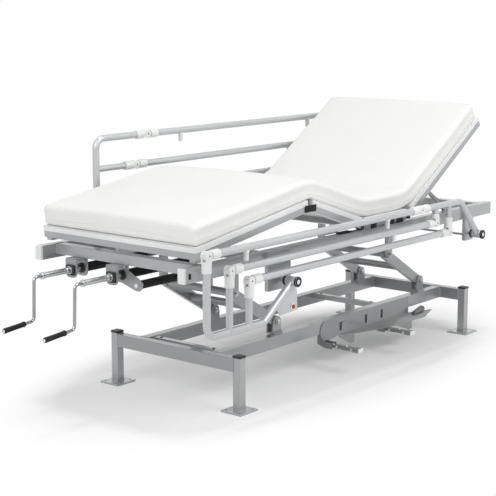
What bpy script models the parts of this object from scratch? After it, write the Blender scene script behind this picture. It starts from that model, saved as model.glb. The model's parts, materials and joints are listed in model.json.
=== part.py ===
"""Manual-crank hospital bed: lifting base, four-section deck with mattress, folding side rails.

Metres, +Z up. +X runs to the head end, -Y is the near side with the lowered rail. The bed is drawn with
x = 0 on the axis of the foot legs, and one empty shifts it so that the origin lies under its middle.
"""

import math

import bmesh
import bpy
from mathutils import Matrix, Vector

# Clearances
SEAT_GAP = 0.0003
PIN_PLAY = 0.0003
SIDE_PLAY = 0.0008

# Base frame
LEG_SPACING = 1.730
LEG_SPREAD = 0.680
LEG_SIDE = 0.036
LEG_HEIGHT = 0.230
LEG_CAP_HEIGHT = 0.008
LEG_CAP_CHAMFER = 0.003
PLATE_LENGTH = 0.110
PLATE_WIDTH = 0.105
PLATE_THICKNESS = 0.008
PLATE_HOLE_RADIUS = 0.006
PLATE_HOLE_EDGE = 0.016
BASE_RAIL_HEIGHT = 0.055
BASE_RAIL_WIDTH = 0.040
BASE_RAIL_TOP = 0.218
BASE_RAIL_SPREAD = 0.400
TUBE_WALL = 0.0025
TIE_SIDE = 0.025
TIE_TOP = 0.214
TIE_PLACES = {"foot": 0.070, "mid": 1.210}

# Lift linkage
LIFT_PIVOT_FOOT = 0.4315
LIFT_PIVOT_HEAD = 1.5660
LIFT_PIVOT_HEIGHT = 0.2675
ARM_REACH = 0.2910
ARM_RISE = 0.1722
ARM_DEPTH = 0.046
ARM_THICKNESS = 0.022
ARM_SPREAD = 0.348
ARM_PIN_RADIUS = 0.008
ARM_PIN_HEAD_RADIUS = 0.013
ARM_PIN_HEAD = 0.004
CLEVIS_THICKNESS = 0.007
CLEVIS_WIDTH = 0.058
CLEVIS_TIP_RADIUS = 0.026
CLEVIS_FLOOR = 0.006
LIFT_TUBE_RADIUS = 0.017
MID_TUBE_SHARE = 0.50
POST_WIDTH = 0.036
POST_THICKNESS = 0.020
LEVER_LENGTH = 0.085
LEVER_THICKNESS = 0.010
LEVER_PIN_RADIUS = 0.006
LEVER_PLACE = -0.065

# Foot pedals and their guard
PEDAL_PLACES = {"foot": 0.757, "head": 1.176}
PEDAL_AXIS_Y = -0.236
PEDAL_AXIS_Z = 0.108
PEDAL_LENGTH = 0.165
PEDAL_WIDTH = 0.026
PEDAL_DEPTH = 0.014
PEDAL_PAD_LENGTH = 0.032
PEDAL_PAD_GROWTH = 0.004
PEDAL_PIN_RADIUS = 0.004
PEDAL_BRACKET_WALL = 0.005
PEDAL_BRACKET_DEPTH = 0.046
PEDAL_BRACKET_FLANGE = 0.005
GUARD_START = 0.702
GUARD_END = 1.415
GUARD_THICKNESS = 0.003
GUARD_BOTTOM = 0.128
GUARD_RISE = 0.006
GUARD_RISE_LENGTH = 0.030
GUARD_LIP_START = 0.800
GUARD_LIP_FALL = 0.25
GUARD_LIP_EDGE = ((1.585, 0.030), (1.460, 0.068), (1.170, 0.060), (0.950, 0.030))
GUARD_SLOT_PLACES = (0.856, 1.056, 1.186)
GUARD_SLOT_WIDTH = 0.018
GUARD_SLOT_HEIGHT = 0.040

# Upper frame
SIDE_TUBE_HEIGHT = 0.057
SIDE_TUBE_WIDTH = 0.034
SIDE_TUBE_TOP = 0.645
FRAME_WIDTH = 0.810
FRAME_FOOT = -0.393
FRAME_HEAD = 1.860
END_CAP_THICKNESS = 0.010
END_CAP_PLUG = 0.030
CROSS_TUBE_SIDE = 0.042
CROSS_TUBE_FOOT = -0.289
CROSS_TUBE_HEAD = 1.790
LIFT_CROSS_SIDE = 0.040

# Cranks and screws
BACK_CRANK_PLACE = 0.017
KNEE_CRANK_CLEARANCE = 0.0402
CRANK_AXIS_Z = 0.557
CRANK_BEND = -0.545
CRANK_DROP = 0.172
CRANK_LEAN = 0.0065
CRANK_ROD_RADIUS = 0.0065
CRANK_SLEEVE_RADIUS = 0.012
CRANK_SLEEVE_END = -0.505
CRANK_BEND_RADIUS = 0.018
CRANK_TAIL = 0.050
GRIP_LENGTH = 0.108
GRIP_RADIUS = 0.011
GRIP_START = 0.048
GRIP_DROOP = math.radians(5.0)
BRACKET_FRONT = -0.348
BRACKET_REAR = -0.284
BRACKET_WALL = 0.006
BRACKET_WIDTH = 0.064
BRACKET_DROP = 0.032
BRACKET_LUG_WIDTH = 0.050
SCREW_COVER_RADIUS = 0.019
SCREW_COVER_WALL = 0.003
SCREW_COVER_ENDS = {"back": 0.420, "knee": 0.080}
PUSH_ROD_RADIUS = 0.011
PUSH_ROD_STARTS = {"back": 0.120, "knee": -0.080}
FORK_LENGTH = 0.036
FORK_BACK = 0.024
FORK_HEIGHT = 0.034
FORK_CHEEK = 0.007
LUG_THICKNESS = 0.010
LUG_PIN_RADIUS = 0.007
LUG_TIP_RADIUS = 0.012
LUG_ROOT_RADIUS = 0.0085
SLOT_PLAY = {"back": 0.0062, "knee": 0.0015}
CYLINDER_RADIUS = 0.017
CYLINDER_END = -0.030
CYLINDER_FLOOR = 0.010
LIFT_ROD_RADIUS = 0.009
LIFT_ROD_START = -0.180
LIFT_FORK_PLAY = 0.0020
LIFT_FORK_DEPTH = 0.026

# Decks
DECK_OVERHANG = 0.009
DECK_TOP = 0.700
PANEL_THICKNESS = 0.022
DECK_FRAME_HEIGHT = 0.026
DECK_FRAME_WIDTH = 0.025
PROP_ROLLER_RADIUS = 0.015
THIGH_HINGE = 0.740
BACK_HINGE = 1.112
THIGH_LENGTH = 0.3965
CALF_LENGTH = 0.7034
BACK_LENGTH = 0.711
THIGH_ANGLE = math.radians(18.0)
CALF_ANGLE = math.radians(8.5)
BACK_ANGLE = math.radians(32.2)
THIGH_MOST = math.radians(35.0)
BACK_MOST = math.radians(70.5)
HINGE_LUG_PLACES = (-0.290, 0.290)
HINGE_LUG_THICKNESS = 0.008
HINGE_EYE_RADIUS = 0.0095
HINGE_PIN_RADIUS = 0.005
SKID_LENGTH = 0.060
SKID_WIDTH = 0.026
SKID_CLEARANCE = 0.0155
PROP_REACH = 0.204
PROP_DEPTH = 0.018
PROP_THICKNESS = 0.008
PROP_LUG_THICKNESS = 0.006
PROP_PIN_RADIUS = 0.005
PROP_ROLLER_WIDTH = 0.014

# Mattress
MATTRESS_MARGIN = 0.001
MATTRESS_THICKNESS = 0.085
MATTRESS_CROWN = 0.006
MATTRESS_DRAW_IN = 0.004
MATTRESS_CORNER = 0.022
MATTRESS_END_ROUND = 0.024

# Side rails
RAIL_STANDOFF = 0.072
RAIL_PIVOT_FOOT = 0.163
RAIL_PIVOT_HEAD = 1.610
RAIL_PIVOT_HEIGHT = 0.5245
RAIL_TUBE_RADIUS = 0.015
RAIL_STUB_RADIUS = 0.0138
RAIL_FITTINGS = {"top": (-0.514, 0.175), "mid": (-0.384, 0.101), "low": (-0.268, 0.044)}
RAIL_FRAME_BOTTOM = -0.1355
RAIL_FRAME_KNEE = -0.180
RAIL_HEAD_KNEE = -0.165
RAIL_BEND_RADIUS = 0.045
FITTING_REACH = 0.022
FITTING_LENGTH = 0.042
FITTING_RADIUS = 0.0185
FITTING_EYE_RADIUS = 0.0175
FITTING_TAIL_RADIUS = 0.011
FITTING_EMBED = 0.005
FITTING_PIN_RADIUS = 0.004
TONGUE_THICKNESS = 0.011
CHEEK_THICKNESS = 0.0095
BUMPER_RADIUS = 0.010
BUMPER_SPIN = math.radians(8.0)
BUMPER_LENGTHS = {"top": 0.036, "mid": 0.022}
BUMPER_PLACES = {"top": (0.228, 1.188), "mid": (1.108,)}
RAIL_PIN_RADIUS = 0.008
RAIL_BOSS_RADIUS = 0.019
RAIL_BOSS_LENGTH = 0.046
DISC_RADIUS = 0.021
DISC_THICKNESS = 0.009
POST_PLATE_THICKNESS = 0.016
POST_PLATE_DROP = 0.0385
POST_PLATE_CORNER = 0.004
FOOT_POST_REACH = (-0.082, 0.064)
HEAD_POST_REACH = (-0.016, 0.056)
GUSSET = ((-0.112, -0.0843), (-0.077, -0.1265), (0.033, -0.1220), (0.029, -0.0390), (0.006, -0.004))
GUSSET_THICKNESS = 0.006
BUTTON_PLACE = (0.003, -0.1035)
BUTTON_RADIUS = 0.009
BUTTON_LENGTH = 0.020

# Places worked out from the sizes above
LEG_Y = LEG_SPREAD / 2
BASE_RAIL_Y = BASE_RAIL_SPREAD / 2
BASE_RAIL_FLOOR = BASE_RAIL_TOP - BASE_RAIL_HEIGHT
SIDE_TUBE_Y = (FRAME_WIDTH - SIDE_TUBE_WIDTH) / 2
SIDE_TUBE_FLOOR = SIDE_TUBE_TOP - SIDE_TUBE_HEIGHT
FRAME_OUTSIDE = FRAME_WIDTH / 2
FRAME_INSIDE = FRAME_OUTSIDE - SIDE_TUBE_WIDTH
DECK_WIDTH = FRAME_WIDTH + 2 * DECK_OVERHANG
MATTRESS_WIDTH = DECK_WIDTH - 2 * MATTRESS_MARGIN
PROP_Y = DECK_WIDTH / 2 - DECK_FRAME_WIDTH - PROP_LUG_THICKNESS / 2 - SIDE_PLAY - PROP_THICKNESS / 2
RAIL_PLANE = FRAME_OUTSIDE + RAIL_STANDOFF
UPPER_PIVOT_HEIGHT = LIFT_PIVOT_HEIGHT + ARM_RISE
ARM_Y = ARM_SPREAD / 2
ARM_OUTSIDE = ARM_Y + ARM_THICKNESS / 2
ARM_INSIDE = ARM_Y - ARM_THICKNESS / 2
POST_INSIDE = ARM_OUTSIDE + SIDE_PLAY
POST_OUTSIDE = POST_INSIDE + POST_THICKNESS
CRANK_PLACES = {"back": BACK_CRANK_PLACE, "knee": POST_OUTSIDE + KNEE_CRANK_CLEARANCE}
LIFT_ENDS = {"foot": LIFT_PIVOT_FOOT, "head": LIFT_PIVOT_HEAD}
CYLINDER_Z = UPPER_PIVOT_HEIGHT + LEVER_LENGTH
HINGE_Z = SIDE_TUBE_TOP + SEAT_GAP + PROP_ROLLER_RADIUS
PANEL_UP = DECK_TOP - HINGE_Z
PANEL_DOWN = PANEL_UP - PANEL_THICKNESS
DECK_DOWN = PANEL_DOWN - DECK_FRAME_HEIGHT
LUG_DROP = HINGE_Z - CRANK_AXIS_Z
BACK_SLOPE = math.tan(BACK_MOST / 2)
THIGH_SLOPE = math.tan(THIGH_MOST / 2)
BACK_EDGE = PANEL_UP * BACK_SLOPE + SIDE_PLAY
THIGH_EDGE = PANEL_UP * THIGH_SLOPE + SIDE_PLAY
KNEE_EDGE = HINGE_EYE_RADIUS + SIDE_PLAY
KNEE_X = THIGH_HINGE - THIGH_LENGTH * math.cos(THIGH_ANGLE)
KNEE_Z = HINGE_Z + THIGH_LENGTH * math.sin(THIGH_ANGLE)
CALF_FOOT_Z = KNEE_Z - CALF_LENGTH * math.sin(CALF_ANGLE)
GRIP_AXIS = Vector((-math.cos(GRIP_DROOP), 0, -math.sin(GRIP_DROOP)))
CRANK_FOOT_X = CRANK_BEND - CRANK_LEAN
CRANK_FOOT_Z = CRANK_AXIS_Z - CRANK_DROP
GRIP_TIP = CRANK_FOOT_X + GRIP_AXIS.x * (GRIP_START + GRIP_LENGTH) + GRIP_AXIS.z * GRIP_RADIUS
BED_MIDDLE = (GRIP_TIP + FRAME_HEAD) / 2
SIDES = {"near": -1, "far": 1}
PIN_SIDES = 8

MATERIALS = {
    "steel_paint": ((0.56, 0.58, 0.60), 0.38, 0.35),
    "dark_paint": ((0.20, 0.21, 0.22), 0.45, 0.30),
    "chrome": ((0.80, 0.81, 0.83), 0.12, 1.0),
    "black_plastic": ((0.02, 0.02, 0.022), 0.45, 0.0),
    "white_plastic": ((0.86, 0.87, 0.87), 0.40, 0.0),
    "deck_panel": ((0.80, 0.81, 0.81), 0.45, 0.0),
    "mattress_cover": ((0.90, 0.90, 0.87), 0.60, 0.0),
    "red_plastic": ((0.70, 0.04, 0.03), 0.40, 0.0),
}


def clear_scene():
    for thing in list(bpy.data.objects):
        bpy.data.objects.remove(thing, do_unlink=True)


def material(name):
    """The Principled material of that name, made on first use."""
    made = bpy.data.materials.get(name)
    if made:
        return made
    colour, roughness, metallic = MATERIALS[name]
    made = bpy.data.materials.new(name)
    made.use_nodes = True
    shader = made.node_tree.nodes["Principled BSDF"]
    shader.inputs["Base Color"].default_value = (*colour, 1.0)
    shader.inputs["Roughness"].default_value = roughness
    shader.inputs["Metallic"].default_value = metallic
    return made


# Solid shapes


def link_mesh(shape):
    """An object that holds a bmesh, with its faces turned outward."""
    bmesh.ops.recalc_face_normals(shape, faces=shape.faces)
    mesh = bpy.data.meshes.new("shape")
    shape.to_mesh(mesh)
    shape.free()
    made = bpy.data.objects.new("shape", mesh)
    bpy.context.scene.collection.objects.link(made)
    return made


def block(x, y, z):
    """A box between pairs of limits."""
    return prism([(x[0], z[0]), (x[1], z[0]), (x[1], z[1]), (x[0], z[1])], y)


def prism(outline, limits, along="y"):
    """An outline of (x, z), (y, z) or (x, y) points, extruded along y, x or z between two limits."""
    place = {
        "y": lambda point, at: (point[0], at, point[1]),
        "x": lambda point, at: (at, point[0], point[1]),
        "z": lambda point, at: (point[0], point[1], at),
    }[along]
    shape = bmesh.new()
    low = [shape.verts.new(place(point, limits[0])) for point in outline]
    high = [shape.verts.new(place(point, limits[1])) for point in outline]
    shape.faces.new(low)
    shape.faces.new(high)
    for index in range(len(outline)):
        after = (index + 1) % len(outline)
        shape.faces.new((low[index], low[after], high[after], high[index]))
    return link_mesh(shape)


def rod(start, end, radius, sides=12, spin=0.0):
    """A round bar between two points; spin turns its facets about its own axis."""
    start = Vector(start)
    end = Vector(end)
    turn = (end - start).to_track_quat("Z", "X").to_matrix().to_4x4() @ Matrix.Rotation(spin, 4, "Z")
    shape = bmesh.new()
    bmesh.ops.create_cone(
        shape,
        cap_ends=True,
        segments=sides,
        radius1=radius,
        radius2=radius,
        depth=(end - start).length,
        matrix=Matrix.Translation((start + end) / 2) @ turn,
    )
    return link_mesh(shape)


def rounded_path(points, radius, steps=4):
    """The points of a polyline whose inner corners are bent to a radius."""
    points = [Vector(point) for point in points]
    path = [points[0]]
    for before, corner, after in zip(points, points[1:], points[2:]):
        inward = (before - corner).normalized()
        outward = (after - corner).normalized()
        half = inward.angle(outward) / 2
        middle = corner + (inward + outward).normalized() * radius / math.sin(half)
        first = corner + inward * radius / math.tan(half) - middle
        last = corner + outward * radius / math.tan(half) - middle
        for step in range(steps + 1):
            path.append(middle + radius * first.normalized().slerp(last.normalized(), step / steps))
    path.append(points[-1])
    return path


def bent_rod(points, radius, bend, sides=12):
    """A round bar in an XZ plane along a polyline with bent corners."""
    path = rounded_path(points, bend)
    across = Vector((0, 1, 0))
    shape = bmesh.new()
    rings = []
    for index, point in enumerate(path):
        run = path[min(index + 1, len(path) - 1)] - path[max(index - 1, 0)]
        up = run.normalized().cross(across)
        ring = []
        for side in range(sides):
            turn = 2 * math.pi * side / sides
            ring.append(shape.verts.new(point + radius * (math.cos(turn) * up + math.sin(turn) * across)))
        rings.append(ring)
    for ring, after in zip(rings, rings[1:]):
        for side in range(sides):
            following = (side + 1) % sides
            shape.faces.new((ring[side], ring[following], after[following], after[side]))
    shape.faces.new(rings[0])
    shape.faces.new(rings[-1])
    return link_mesh(shape)


def apply_boolean(target, tool, operation):
    modifier = target.modifiers.new(operation, "BOOLEAN")
    modifier.operation = operation
    modifier.object = tool
    graph = bpy.context.evaluated_depsgraph_get()
    mesh = bpy.data.meshes.new_from_object(target.evaluated_get(graph))
    target.modifiers.clear()
    target.data = mesh
    bpy.data.objects.remove(tool, do_unlink=True)


def fuse(target, *others):
    for other in others:
        apply_boolean(target, other, "UNION")
    return target


def carve(target, *cutters):
    for cutter in cutters:
        apply_boolean(target, cutter, "DIFFERENCE")
    return target


def box_tube(along, ends, first, second, wall=TUBE_WALL):
    """A hollow tube along x or y, open at both ends; first is its y or x limits, second its z limits."""
    longer = (ends[0] - wall, ends[1] + wall)
    inner_first = (first[0] + wall, first[1] - wall)
    inner_second = (second[0] + wall, second[1] - wall)
    if along == "x":
        return carve(block(ends, first, second), block(longer, inner_first, inner_second))
    return carve(block(first, ends, second), block(inner_first, longer, inner_second))


def running_bore(pin_radius, sides=12):
    """The radius of a faceted bore in which a pin with as many facets turns freely."""
    return pin_radius / math.cos(math.pi / sides) + PIN_PLAY


def around(middle, size):
    return (middle - size / 2, middle + size / 2)


def mirrored(limits, side):
    """Limits on the +y side, carried to the given side."""
    return tuple(sorted(side * limit for limit in limits))


def arc(middle, radius, start, end, steps):
    """Points on an arc in degrees, both ends included."""
    angles = [math.radians(start + (end - start) * step / steps) for step in range(steps + 1)]
    return [(middle[0] + radius * math.cos(a), middle[1] + radius * math.sin(a)) for a in angles]


def link_outline(start, end, start_radius, end_radius, steps=5):
    """The outline of a flat link with round ends of two radii."""
    heading = math.degrees(math.atan2(end[1] - start[1], end[0] - start[0]))
    back = arc(start, start_radius, heading + 90, heading + 270, steps)
    return back + arc(end, end_radius, heading - 90, heading + 90, steps)


def rounded_box(x, z, corner, steps=4):
    """A rectangle whose lower corners are round."""
    left = arc((x[0] + corner, z[0] + corner), corner, 180, 270, steps)
    right = arc((x[1] - corner, z[0] + corner), corner, 270, 360, steps)
    return left + right + [(x[1], z[1]), (x[0], z[1])]


# Bodies and pieces


def add_body(name, bed, place=(0, 0, 0), tilt=0.0):
    """The empty of a rigid body, on its joint's axis; tilt turns it about +Y."""
    body = bpy.data.objects.new(name, None)
    bpy.context.scene.collection.objects.link(body)
    body.parent = bed
    body.location = place
    body.rotation_euler = (0, tilt, 0)
    return body


def finish(piece, name, paint, body, own_frame=False):
    """Names and paints a piece and hangs it on its body; own_frame says it is drawn in that body's frame."""
    piece.name = name
    piece.data.name = name
    piece.data.materials.clear()
    piece.data.materials.append(material(paint))
    if not own_frame:
        piece.data.transform(Matrix.Translation(-Vector(body.location)))
    piece.data.shade_smooth()
    piece.data.set_sharp_from_angle(angle=math.radians(35))
    piece.parent = body
    return piece


# Base


def leg(name, x, y, base):
    top = LEG_HEIGHT - LEG_CAP_HEIGHT
    post = block(around(x, LEG_SIDE), around(y, LEG_SIDE), (PLATE_THICKNESS / 2, top))
    cap_side = LEG_SIDE - 2 * LEG_CAP_CHAMFER
    cap = block(around(x, cap_side), around(y, cap_side), (top - LEG_CAP_HEIGHT, LEG_HEIGHT))
    plate = block(around(x, PLATE_LENGTH), around(y, PLATE_WIDTH), (0, PLATE_THICKNESS))
    hole_x = PLATE_LENGTH / 2 - PLATE_HOLE_EDGE
    hole_y = PLATE_WIDTH / 2 - PLATE_HOLE_EDGE
    for side_x in (-1, 1):
        for side_y in (-1, 1):
            spot = (x + side_x * hole_x, y + side_y * hole_y)
            drill = rod((*spot, -PLATE_THICKNESS), (*spot, 2 * PLATE_THICKNESS), PLATE_HOLE_RADIUS, PIN_SIDES)
            carve(plate, drill)
    finish(fuse(plate, post, cap), name, "steel_paint", base)


def base_cross_rail(name, x, base):
    reach = LEG_Y - LEG_SIDE / 2 - SEAT_GAP
    tube = box_tube("y", (-reach, reach), around(x, BASE_RAIL_WIDTH), (BASE_RAIL_FLOOR, BASE_RAIL_TOP))
    finish(tube, name, "steel_paint", base)


def clevis(x, side):
    """A bracket on a base rail's inner edge: a plate either side of a lift arm, joined by a floor."""
    y = side * ARM_Y
    inner = ARM_THICKNESS / 2 + SIDE_PLAY
    wide = inner + CLEVIS_THICKNESS
    tip = arc((x, LIFT_PIVOT_HEIGHT), CLEVIS_TIP_RADIUS, 0, 180, 6)
    foot = BASE_RAIL_TOP - TUBE_WALL / 2
    outline = [(x - CLEVIS_WIDTH / 2, foot), (x + CLEVIS_WIDTH / 2, foot), *tip]
    first = prism(outline, (y + inner, y + wide))
    second = prism(outline, (y - wide, y - inner))
    across = mirrored((ARM_Y - wide, BASE_RAIL_Y), side)
    floor = block(around(x, CLEVIS_WIDTH), across, (foot, BASE_RAIL_TOP + CLEVIS_FLOOR))
    return first, second, floor


def lift_pin(x, y):
    """A pivot pin through a clevis, with a head on each end."""
    reach = ARM_THICKNESS / 2 + SIDE_PLAY + CLEVIS_THICKNESS
    z = LIFT_PIVOT_HEIGHT
    shank = rod((x, y - reach - ARM_PIN_HEAD, z), (x, y + reach + ARM_PIN_HEAD, z), ARM_PIN_RADIUS)
    embed = CLEVIS_THICKNESS / 2
    heads = []
    for side in (-1, 1):
        low = y + side * (reach - embed)
        heads.append(rod((x, low, z), (x, low + side * (ARM_PIN_HEAD + embed), z), ARM_PIN_HEAD_RADIUS, 12))
    return shank, *heads


def base_long_rail(name, side, base):
    y = side * BASE_RAIL_Y
    inset = BASE_RAIL_WIDTH / 2 + SEAT_GAP
    heights = (BASE_RAIL_FLOOR, BASE_RAIL_TOP)
    rail = box_tube("x", (inset, LEG_SPACING - inset), around(y, BASE_RAIL_WIDTH), heights)
    for x in LIFT_ENDS.values():
        fuse(rail, *clevis(x, side), *lift_pin(x, side * ARM_Y))
    finish(rail, name, "steel_paint", base)


def base_tie(name, x, base):
    reach = BASE_RAIL_Y - BASE_RAIL_WIDTH / 2 - SEAT_GAP
    tube = box_tube("y", (-reach, reach), around(x, TIE_SIDE), (TIE_TOP - TIE_SIDE, TIE_TOP))
    finish(tube, name, "steel_paint", base)


def pedal_bracket(name, x, base):
    """A flange under the near rail with two cheeks that carry the pedal's pin."""
    inner = PEDAL_WIDTH / 2 + SIDE_PLAY
    top = BASE_RAIL_FLOOR - SEAT_GAP
    wide = inner + PEDAL_BRACKET_WALL
    back = -BASE_RAIL_Y + BASE_RAIL_WIDTH / 2
    front = PEDAL_AXIS_Y - PEDAL_BRACKET_DEPTH / 2
    outer = -BASE_RAIL_Y - BASE_RAIL_WIDTH / 2 + SEAT_GAP
    flange = block((x - wide, x + wide), (outer, back), (top - PEDAL_BRACKET_FLANGE, top))
    floor = PEDAL_AXIS_Z - PEDAL_DEPTH
    roof = PEDAL_AXIS_Z + PEDAL_DEPTH
    outline = [(back, top), (back, PEDAL_AXIS_Z), (PEDAL_AXIS_Y + PEDAL_DEPTH, floor), (front, floor)]
    outline += [(front, roof), (outer, roof), (outer, top)]
    for side in (-1, 1):
        limits = sorted((x + side * inner, x + side * wide))
        fuse(flange, prism(outline, limits, "x"))
    embed = PEDAL_BRACKET_WALL / 2
    spot = (PEDAL_AXIS_Y, PEDAL_AXIS_Z)
    fuse(flange, rod((x - inner - embed, *spot), (x + inner + embed, *spot), PEDAL_PIN_RADIUS, PIN_SIDES))
    finish(flange, name, "dark_paint", base)


def pedal(name, x, body):
    """A lever that reaches out from its pin and ends in a pad."""
    tail = PEDAL_AXIS_Y + PEDAL_DEPTH
    tip = PEDAL_AXIS_Y - PEDAL_LENGTH
    lever = block(around(x, PEDAL_WIDTH), (tip, tail), around(PEDAL_AXIS_Z, PEDAL_DEPTH))
    pad_width = PEDAL_WIDTH + 2 * PEDAL_PAD_GROWTH
    pad_depth = PEDAL_DEPTH + PEDAL_PAD_GROWTH
    pad_reach = (tip - PEDAL_PAD_GROWTH, tip + PEDAL_PAD_LENGTH)
    pad = block(around(x, pad_width), pad_reach, around(PEDAL_AXIS_Z, pad_depth))
    spot = (PEDAL_AXIS_Y, PEDAL_AXIS_Z)
    wide = running_bore(PEDAL_PIN_RADIUS, PIN_SIDES)
    bore = rod((x - PEDAL_WIDTH, *spot), (x + PEDAL_WIDTH, *spot), wide, PIN_SIDES)
    finish(carve(fuse(lever, pad), bore), name, "dark_paint", body)


def pedal_guard(base):
    """A slotted sheet on the near rail's outer face, with a lip that falls and widens outward."""
    face = -BASE_RAIL_Y - BASE_RAIL_WIDTH / 2 - SEAT_GAP
    limits = (face - GUARD_THICKNESS, face)
    radius = (BASE_RAIL_TOP - GUARD_BOTTOM) / 2
    middle = (GUARD_START + radius, GUARD_BOTTOM + radius)
    fold = GUARD_BOTTOM + GUARD_RISE
    outline = arc(middle, radius, 90, 270, 10)
    outline += [(GUARD_LIP_START, GUARD_BOTTOM), (GUARD_LIP_START + GUARD_RISE_LENGTH, fold)]
    outline += [(GUARD_END, fold), (GUARD_END, BASE_RAIL_TOP)]
    sheet = prism(outline, limits)
    for x in GUARD_SLOT_PLACES:
        heights = around(GUARD_BOTTOM + radius, GUARD_SLOT_HEIGHT)
        carve(sheet, block(around(x, GUARD_SLOT_WIDTH), around(face, 4 * GUARD_THICKNESS), heights))
    root = face - GUARD_THICKNESS / 2
    plan = [(GUARD_LIP_START + GUARD_RISE_LENGTH, root), (GUARD_END, root)]
    plan += [(x, root - reach) for x, reach in GUARD_LIP_EDGE]
    lip = prism(plan, (fold, fold + GUARD_THICKNESS), "z")
    slope = Matrix.Identity(4)
    slope[2][1] = GUARD_LIP_FALL
    slope[2][3] = -GUARD_LIP_FALL * root
    lip.data.transform(slope)
    finish(fuse(sheet, lip), "pedal_cover", "steel_paint", base)


def build_base(bed):
    base = add_body("base", bed)
    for end, x in (("foot", 0.0), ("head", LEG_SPACING)):
        for side_name, side in SIDES.items():
            leg(f"leg_{end}_{side_name}", x, side * LEG_Y, base)
        base_cross_rail(f"base_cross_rail_{end}", x, base)
    for side_name, side in SIDES.items():
        base_long_rail(f"base_rail_{side_name}", side, base)
    for place, x in TIE_PLACES.items():
        base_tie(f"base_tie_tube_{place}", x, base)
    pedal_guard(base)
    for end, x in PEDAL_PLACES.items():
        pedal_bracket(f"pedal_bracket_{end}", x, base)
        pedal(f"pedal_{end}", x, add_body(f"pedal_{end}_axis", bed, (x, PEDAL_AXIS_Y, PEDAL_AXIS_Z)))


# Lift linkage


def lift_frame(end, bed):
    """Two arms with two cross tubes; the foot frame has the lever that the lift rod moves."""
    x = LIFT_ENDS[end]
    body = add_body(f"lift_{end}_axis", bed, (x, 0, LIFT_PIVOT_HEIGHT))
    lower = (x, LIFT_PIVOT_HEIGHT)
    upper = (x - ARM_REACH, UPPER_PIVOT_HEIGHT)
    outline = link_outline(lower, upper, ARM_DEPTH / 2 - SIDE_PLAY, ARM_DEPTH / 2)
    middle = [a + (b - a) * MID_TUBE_SHARE for a, b in zip(lower, upper)]
    embed = ARM_INSIDE + ARM_THICKNESS / 2
    frame = rod((upper[0], -embed, upper[1]), (upper[0], embed, upper[1]), LIFT_TUBE_RADIUS)
    for side in (-1, 1):
        limits = mirrored((ARM_INSIDE, ARM_OUTSIDE), side)
        fuse(frame, prism(outline, limits))
    fuse(frame, rod((middle[0], -embed, middle[1]), (middle[0], embed, middle[1]), LIFT_TUBE_RADIUS))
    if end == "foot":
        tip = (upper[0], upper[1] + LEVER_LENGTH)
        plate = link_outline(upper, tip, LIFT_TUBE_RADIUS - TUBE_WALL, 2 * LEVER_PIN_RADIUS)
        fuse(frame, prism(plate, around(LEVER_PLACE, LEVER_THICKNESS)))
        reach = LEVER_THICKNESS / 2 + SIDE_PLAY + FORK_CHEEK
        ends = [(tip[0], LEVER_PLACE + side * reach, tip[1]) for side in (-1, 1)]
        fuse(frame, rod(*ends, LEVER_PIN_RADIUS, PIN_SIDES))
    for side in (-1, 1):
        y = side * ARM_Y
        far = ARM_THICKNESS
        bore = running_bore(ARM_PIN_RADIUS)
        carve(frame, rod((lower[0], y - far, lower[1]), (lower[0], y + far, lower[1]), bore))
        start = side * (ARM_INSIDE - SEAT_GAP)
        carve(frame, rod((upper[0], start, upper[1]), (upper[0], y + side * far, upper[1]), bore))
    finish(frame, f"lift_frame_{end}", "steel_paint", body)


def lift_cross(end, frame):
    """A cross tube of the upper frame with the two posts that hang on the lift arms."""
    x = LIFT_ENDS[end] - ARM_REACH
    reach = FRAME_INSIDE - SEAT_GAP
    heights = (SIDE_TUBE_FLOOR, SIDE_TUBE_FLOOR + LIFT_CROSS_SIDE)
    tube = box_tube("y", (-reach, reach), around(x, LIFT_CROSS_SIDE), heights)
    outline = rounded_box(
        around(x, POST_WIDTH),
        (UPPER_PIVOT_HEIGHT - POST_WIDTH / 2, SIDE_TUBE_FLOOR + TUBE_WALL / 2),
        POST_WIDTH / 2 - SEAT_GAP,
    )
    for side in (-1, 1):
        post = prism(outline, mirrored((POST_INSIDE, POST_OUTSIDE), side))
        z = UPPER_PIVOT_HEIGHT
        tip = side * (POST_OUTSIDE + ARM_PIN_HEAD)
        fuse(tube, post, rod((x, side * ARM_INSIDE, z), (x, tip, z), ARM_PIN_RADIUS))
    finish(tube, f"lift_cross_{end}", "steel_paint", frame)


# Upper frame


def rail_post(x, reach, side):
    """A plate outside the side tube with the pivot pin of a side rail and its two discs."""
    start = FRAME_OUTSIDE - TUBE_WALL / 2
    face = FRAME_OUTSIDE + POST_PLATE_THICKNESS
    heights = (RAIL_PIVOT_HEIGHT - POST_PLATE_DROP, SIDE_TUBE_TOP - TUBE_WALL)
    outline = rounded_box((x + reach[0], x + reach[1]), heights, POST_PLATE_CORNER)
    plate = prism(outline, mirrored((start, face), side))
    half = RAIL_BOSS_LENGTH / 2 + SIDE_PLAY
    tip = RAIL_PLANE + half + DISC_THICKNESS
    z = RAIL_PIVOT_HEIGHT
    fuse(plate, rod((x, side * start, z), (x, side * tip, z), RAIL_PIN_RADIUS))
    for low in (RAIL_PLANE - half - DISC_THICKNESS, RAIL_PLANE + half):
        fuse(plate, rod((x, side * low, z), (x, side * (low + DISC_THICKNESS), z), DISC_RADIUS))
    return plate


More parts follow.
